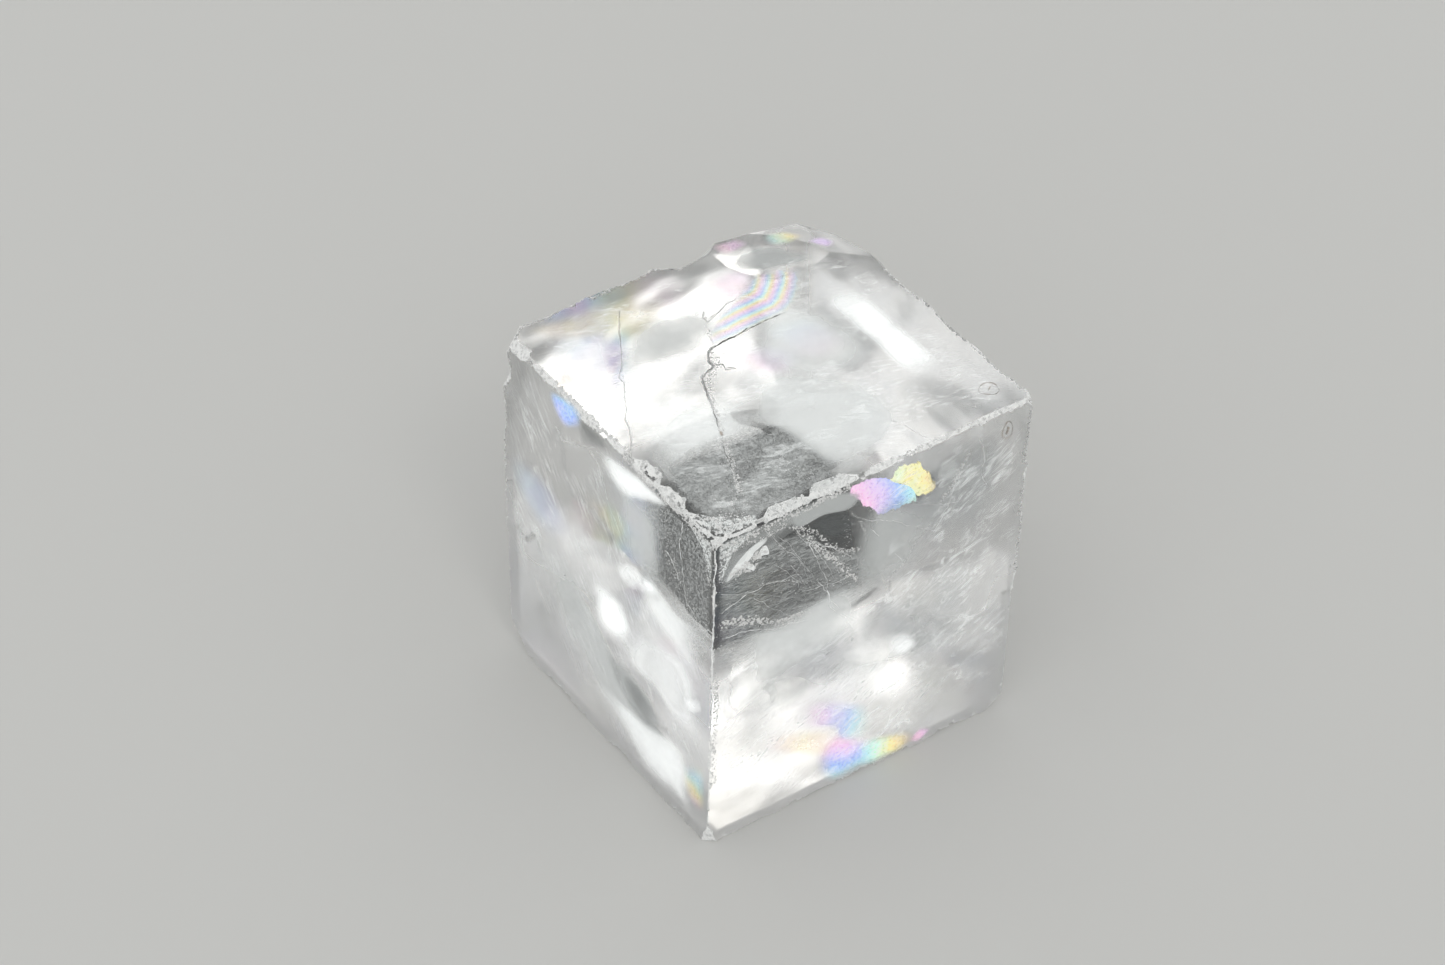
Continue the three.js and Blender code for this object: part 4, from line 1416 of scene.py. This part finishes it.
veils = {
    "clear": 0.0,
    # painted glow: strength of the emission that makes painted highlights of the veils
    "paintedGlow": 0.7,
    # from the painted shade of a dark veil to milky white
    "tones": [(0.1, 0.11, 0.115, 1), (0.95, 0.98, 0.98, 1)],
    "roughness": 0.9,
    "edge": {"noise": (350.0, 0.8, 3.0), "spread": (-0.1, 1.1), "rim": (0.0, 0.6)},
    # each pattern's changes per mm along the edges, its noise, and the noise values of none and full cover
    "cloud": {
        "stretch": (0.6, 1.0, 0.8),
        "scale": 0.4, "detail": 3.5, "more": {"Distortion": 0.6}, "mask": (0.25, 0.8, 0.2),
    },
    "strands": {
        "stretch": (0.16, 0.16, 0.9),
        "scale": 4.0, "detail": 5.0, "more": {"Distortion": 3.0}, "mask": (0.34, 0.7, 0.1),
    },
    "felt": {
        "stretch": (1.0, 1.0, 1.0),
        "scale": 4.0, "detail": 5.0, "more": {"Distortion": 1.0}, "mask": (0.44, 0.6, 0.1),
    },
    "wisps": {
        "stretch": (0.4, 1.2, -1.0),
        "scale": 1.0, "detail": 6.0, "more": {"Roughness": 0.62, "Distortion": 2.2},
        "mask": (0.45, 0.68), "along": 0.4, "toneShift": 9.0, "clouds": (0.3, 0.8),
    },
    "patches": [  # face, kind, depth in mm, cover, solid share, tone (a dark tone is painted shade), painted glow (a painted highlight), outline
        ["top", "Wisps", -0.03, 0.3, 0.9, 1.0, 0.4,
         [(0.3, 0.3), (0.3, 14.0), (0.3, 26.0), (12.0, 26.6), (24.0, 24.0), (28.2, 20.0), (28.2, 8.0),
          (28.4, 0.4), (14.0, 0.2)]],
        ["front", "Wisps", -0.03, 0.36, 0.9, 0.98, 0.4,
         [(0.3, 18.6), (15.4, 20.0), (16.4, 31.8), (28.4, 31.6), (28.6, 16.0), (28.4, 4.0), (14.0, 0.3),
          (0.3, 4.6)]],
        ["left", "Wisps", -0.035, 0.3, 0.9, 1.0, 0.25,
         [(0.3, 19.0), (9.0, 22.0), (12.0, 31.8), (26.8, 31.4), (27.2, 16.0), (26.6, 10.0), (13.0, 1.2),
          (0.3, 5.0)]],
        ["top", "Cloud", -0.01, 0.26, 0.85, 1.0, 0.0,
         [(0.2, 10.2), (3.8, 12.6), (8.2, 13.2), (12.4, 11.4), (17.6, 9.2), (20.0, 5.0), (14.0, 0.3),
          (8.0, 0.2), (1.0, 0.2), (0.2, 3.6)]],
        ["top", "Felt", -0.02, 0.22, 0.8, 1.0, 0.0,
         [(0.3, 9.4), (6.0, 11.6), (12.0, 9.6), (17.4, 5.6), (10.0, 0.4), (1.0, 0.4)]],
        ["top", "Plain", -0.02, 0.5, 0.0, 1.0, 0.5,
         [(3.4, 26.6), (7.4, 24.0), (3.4, 16.0), (0.2, 13.6), (0.2, 21.0)]],
        ["top", "Plain", -0.03, 0.42, 0.1, 1.0, 0.2,
         [(12.4, 16.0), (17.0, 20.6), (22.0, 20.4), (24.8, 15.0), (23.6, 9.0), (19.0, 7.6), (14.4, 10.0),
          (12.6, 13.4)]],
        ["top", "Plain", -0.025, 0.8, 0.25, 0.97, 0.1,
         [(9.0, 10.6), (14.0, 14.6), (20.4, 10.4), (21.6, 3.0), (16.4, 0.3), (11.4, 0.2), (10.8, 3.0),
          (10.4, 5.4), (10.0, 8.0)]],
        ["top", "Plain", -0.02, 0.5, 0.0, 1.0, 0.4,
         [(0.2, 13.6), (6.0, 15.0), (12.0, 13.8), (12.6, 9.4), (10.4, 7.4), (8.0, 7.6), (5.4, 8.0),
          (2.6, 8.2), (0.2, 8.4)]],
        ["left", "Felt", -0.01, 0.25, 0.9, 1.0, 0.0,
         [(9.8, 29.6), (6.4, 31.6), (0.2, 31.8), (0.1, 20.0), (2.8, 18.4), (7.4, 19.8), (10.8, 23.6)]],
        ["left", "Plain", -0.02, 0.5, 0.0, 0.9, 0.1,
         [(12.6, 30.4), (9.4, 30.8), (6.8, 29.2), (6.0, 26.0), (5.6, 22.6), (8.6, 19.0), (12.0, 21.0),
          (13.2, 26.0)]],
        ["left", "Plain", -0.025, 0.6, 0.0, 1.0, 0.4,
         [(10.0, 23.6), (7.0, 23.0), (4.0, 22.2), (0.2, 21.8), (0.2, 15.8), (4.0, 16.0), (9.0, 18.0),
          (11.6, 20.6)]],
        ["left", "Plain", -0.02, 0.8, 0.1, 1.0, 0.5,
         [(15.2, 30.3), (9.3, 31.8), (4.2, 31.8), (7.4, 29.6), (11.6, 27.2), (14.8, 28.0)]],
        ["left", "Cloud", -0.03, 0.6, 0.1, 0.1, 0.0,
         [(18.0, 31.4), (13.8, 31.8), (13.4, 30.6), (17.0, 28.6)]],
        ["front", "Strands", -0.01, 0.3, 0.9, 1.0, 0.0,
         [(0.2, 29.2), (4.4, 29.8), (8.6, 28.8), (10.0, 26.4), (13.8, 24.2), (15.2, 19.6), (8.2, 18.2),
          (0.2, 18.8)]],
        ["front", "Plain", -0.01, 0.5, 0.0, 0.1, 0.0,
         [(7.6, 30.0), (9.6, 30.6), (12.8, 29.2), (13.8, 26.6), (11.6, 26.0), (9.2, 27.8)]],
        ["front", "Cloud", -0.02, 0.34, 0.7, 1.0, 0.0,
         [(0.3, 31.8), (5.0, 31.9), (11.0, 31.8), (13.4, 29.8), (8.4, 29.8), (4.6, 28.8), (0.3, 27.2)]],
        ["front", "Plain", -0.03, 0.5, 0.0, 0.72, 0.0,
         [(12.6, 29.8), (16.6, 30.6), (23.0, 26.6), (22.0, 19.0), (14.6, 17.0), (12.4, 20.6), (12.0, 23.4),
          (12.0, 26.6)]],
        ["front", "Plain", -0.03, 0.6, 0.0, 0.97, 0.1,
         [(0.2, 21.8), (3.6, 21.6), (7.0, 21.8), (10.6, 22.8), (14.4, 22.8), (16.8, 18.0), (14.0, 14.2),
          (7.0, 12.4), (0.2, 13.6)]],
        ["front", "Cloud", -0.02, 0.6, 0.2, 1.0, 0.0,
         [(19.6, 29.2), (22.0, 30.0), (22.6, 27.3), (20.4, 27.2)]],
        ["left", "Plain", -0.04, 0.55, 0.1, 0.7, 0.0,
         [(15.0, 10.4), (11.6, 11.8), (9.2, 11.0), (6.2, 10.0), (4.2, 7.6), (7.0, 5.2), (10.2, 5.6),
          (13.4, 7.0)]],
        ["left", "Plain", -0.045, 0.4, 0.0, 0.4, 0.0,
         [(13.4, 9.4), (11.0, 10.4), (8.6, 10.0), (5.4, 8.4), (6.8, 6.6), (10.4, 6.8)]],
        ["left", "Plain", -0.02, 0.6, 0.1, 0.82, 0.05,
         [(27.2, 14.4), (20.0, 6.0), (12.0, 1.6), (4.0, 0.2), (0.2, 0.4), (0.2, 6.0), (8.0, 8.0),
          (16.0, 14.0), (24.0, 19.0)]],
        ["left", "Plain", -0.03, 0.7, 0.0, 1.0, 0.48,
         [(18.0, 5.4), (10.0, 7.0), (2.0, 9.4), (0.2, 7.6), (0.2, 0.2), (9.0, 0.2)]],
        ["top", "Plain", -0.02, 0.7, 0.0, 1.0, 0.45,
         [(22.2, 20.4), (25.8, 20.2), (26.3, 10.8), (26.0, 4.6), (22.4, 4.2), (22.0, 9.9)]],
        ["left", "Plain", -0.03, 0.6, 0.0, 1.0, 0.7,
         [(16.9, 15.9), (13.6, 17.8), (10.4, 17.2), (9.2, 14.5), (11.2, 11.2), (15.4, 11.0)]],
        ["left", "Cloud", -0.03, 0.6, 0.0, 1.0, 0.8,
         [(13.9, 19.3), (11.2, 22.2), (8.6, 22.4), (5.6, 22.2), (8.6, 19.4), (11.6, 18.0)]],
        ["left", "Cloud", -0.03, 0.6, 0.0, 1.0, 0.7, [(3.8, 13.1), (1.2, 15.4), (0.7, 14.1), (2.6, 12.0)]],
        ["left", "Plain", -0.01, 0.5, 0.1, 1.0, 0.5,
         [(13.6, 11.0), (10.3, 17.7), (3.0, 19.4), (0.3, 16.0), (0.3, 9.8), (3.8, 8.6), (7.8, 10.0)]],
        ["top", "Plain", -0.03, 0.6, 0.0, 0.7, 0.0,
         [(3.0, 18.2), (8.6, 16.8), (13.6, 16.8), (17.0, 21.0), (13.0, 24.0), (6.0, 23.2)]],
        ["top", "Plain", -0.01, 0.8, 0.2, 0.6, 0.0,
         [(20.4, 26.8), (24.6, 25.4), (26.2, 21.6), (23.6, 21.8), (20.4, 22.6), (18.0, 24.6)]],
        ["front", "Cloud", -0.01, 0.55, 0.1, 0.66, 0.0,
         [(13.0, 19.6), (19.0, 19.6), (27.4, 17.6), (28.0, 9.0), (22.0, 7.0), (16.0, 8.6), (9.0, 10.6),
          (2.0, 12.0), (2.4, 17.6)]],
        ["front", "Cloud", -0.015, 0.6, 0.1, 0.6, 0.0,
         [(0.8, 16.8), (8.0, 17.8), (12.4, 14.0), (9.6, 9.6), (4.0, 10.6), (0.8, 13.0)]],
        ["front", "Plain", -0.015, 0.35, 0.0, 0.55, 0.0,
         [(18.0, 31.6), (24.0, 31.6), (28.2, 30.0), (28.0, 20.0), (21.0, 18.6), (16.4, 23.0)]],
        ["front", "Plain", -0.02, 0.65, 0.6, 0.74, 0.0,
         [(6.2, 31.2), (8.8, 31.7), (11.0, 31.6), (13.5, 30.2), (12.6, 29.0), (9.7, 29.7), (7.1, 29.6)]],
        ["front", "Plain", -0.03, 0.9, 0.75, 1.0, 0.12,
         [(0.9, 27.7), (1.7, 28.9), (3.1, 30.0), (4.6, 30.4), (4.7, 29.9), (3.3, 29.2), (2.1, 28.3),
          (1.2, 27.5)]],
        ["front", "Plain", -0.035, 1.0, 0.85, 1.0, 0.15,
         [(1.7, 28.9), (2.5, 29.1), (3.1, 29.9), (3.5, 29.2), (2.9, 28.7), (3.6, 28.0), (3.6, 27.4),
          (2.9, 28.0), (2.1, 28.3)]],
        ["front", "Plain", -0.035, 1.0, 0.85, 1.0, 0.15,
         [(3.7, 28.5), (4.1, 29.4), (4.6, 29.5), (4.9, 28.5), (4.3, 28.6)]],
        ["front", "Felt", -0.03, 0.85, 0.6, 1.0, 0.1,
         [(0.1, 31.8), (2.5, 32.0), (4.2, 31.8), (2.3, 31.2), (0.9, 30.0), (0.6, 27.8), (0.1, 27.6)]],
        ["left", "Felt", -0.03, 0.85, 0.6, 1.0, 0.1,
         [(0.1, 31.8), (2.2, 31.9), (4.0, 31.9), (2.4, 31.3), (0.8, 30.2), (0.4, 28.2), (0.1, 27.6)]],
        ["top", "Felt", -0.03, 0.85, 0.5, 1.0, 0.1,
         [(0.1, 0.1), (0.2, 3.6), (1.2, 2.4), (2.0, 2.2), (2.2, 1.2), (4.4, 0.8), (4.4, 0.1)]],
        ["front", "Cloud", -0.02, 0.7, 0.0, 1.0, 0.7,
         [(15.9, 14.4), (18.4, 14.0), (20.2, 11.2), (18.6, 10.2), (16.4, 11.6)]],
    ],
}


def makeVeilEdgeGroup():
    # a veil's cover near its rim, made uneven so that no smooth outline shows
    look = veils["edge"]
    group, start, end = newGroup("raggedVeilEdge", {"Position": None, "Fade": 1.0}, {"Cover": "Float"})
    faded = plus(group, start["Fade"], stray(group, start["Position"], *look["noise"]))
    uneven = ramp(group, faded, *look["spread"])
    feed(group, end["Cover"], times(group, uneven, ramp(group, start["Fade"], *look["rim"])))
    return group


def noiseMask(tree, way, look):
    return ramp(tree, noiseAt(tree, way, look["scale"], look["detail"], look["more"]), *look["mask"])


def makeCloudGroup():
    # broad soft clouds, from a place in mm along the edge directions
    group, start, end = newGroup("softCloud", {"Position": None}, {"Mask": "Float"})
    feed(group, end["Mask"], noiseMask(group, start["Position"], veils["cloud"]))
    return group


veilEdgeGroup = makeVeilEdgeGroup()
cloudGroup = makeCloudGroup()


def stretched(tree, lattice, amounts):
    return [times(tree, lattice[label], amount) for label, amount in zip(edgeNames, amounts)]


def cloudPattern(tree, lattice, tone):
    way = joined(tree, *stretched(tree, lattice, veils["cloud"]["stretch"]))
    return placeGroup(tree, cloudGroup, {"Position": way}).outputs["Mask"]


def strandPattern(tree, lattice, tone):
    look = veils["strands"]
    return noiseMask(tree, joined(tree, *stretched(tree, lattice, look["stretch"])), look)


def feltPattern(tree, lattice, tone):
    look = veils["felt"]
    return noiseMask(tree, joined(tree, *stretched(tree, lattice, look["stretch"])), look)


def plainPattern(tree, lattice, tone):
    return 1.0


def wispPattern(tree, lattice, tone):
    # fine fibres that run along the front edge direction and curl; another tone draws other ones
    look = veils["wisps"]
    across = plus(tree, times(tree, tone, look["toneShift"]), *stretched(tree, lattice, look["stretch"]))
    slow = stretched(tree, lattice, (look["along"], look["along"]))
    fibres = noiseMask(tree, joined(tree, across, *slow), look)
    return times(tree, fibres, ramp(tree, cloudPattern(tree, lattice, tone), *look["clouds"]))


veilKinds = {  # each pattern gives a veil's cover from the place in the crystal and the veil's tone
    "Cloud": cloudPattern,
    "Strands": strandPattern,
    "Felt": feltPattern,
    "Plain": plainPattern,
    "Wisps": wispPattern,
}


def veilMaterial(name, pattern):
    material, tree, inputs = mattMaterial(name, veils)
    place = objectPlace(tree)
    lattice = placeGroup(tree, latticeGroup, {"Position": place}).outputs
    cover, faded, tone, paintedGlow = patchMarks(tree, ("Cover", "Fade", "Tone", "Glow"))
    soft = placeGroup(tree, veilEdgeGroup, {"Position": place, "Fade": faded}).outputs["Cover"]
    feed(tree, inputs["Alpha"], times(tree, pattern(tree, lattice, tone), soft, cover))
    # painted highlight: a veil's glow is emission
    feed(tree, inputs["Emission Strength"], times(tree, paintedGlow, veils["paintedGlow"]))
    # a dark tone is painted shade, a pale one milky white
    feed(tree, inputs["Base Color"], mixColour(tree, tone, *veils["tones"]))
    return material


def markVeil(patch, place, out):
    return {
        "patchFade": fade(out, patch["solid"]),
        "patchCover": patch["cover"],
        "patchTone": patch["tone"],
        "patchGlow": patch["paintedGlow"],
    }


def makeVeils():
    labels = ("face", "kind", "depth", "cover", "solid", "tone", "paintedGlow", "outline")
    patches = [dict(zip(labels, row)) for row in veils["patches"]]
    for name, pattern in veilKinds.items():
        own = [patch for patch in patches if patch["kind"] == name]
        lensPatches("veil" + name, veilMaterial("milkAndPaintedLight" + name, pattern), own, markVeil)


makeVeils()
print("films and veils made")

cycles = scene.cycles
cycles.max_bounces = 14
cycles.transmission_bounces = 14
cycles.glossy_bounces = 8
cycles.diffuse_bounces = 2
cycles.transparent_max_bounces = 14  # veils lie several deep, in front and behind
cycles.use_denoising = True
scene.view_settings.view_transform = "Standard"
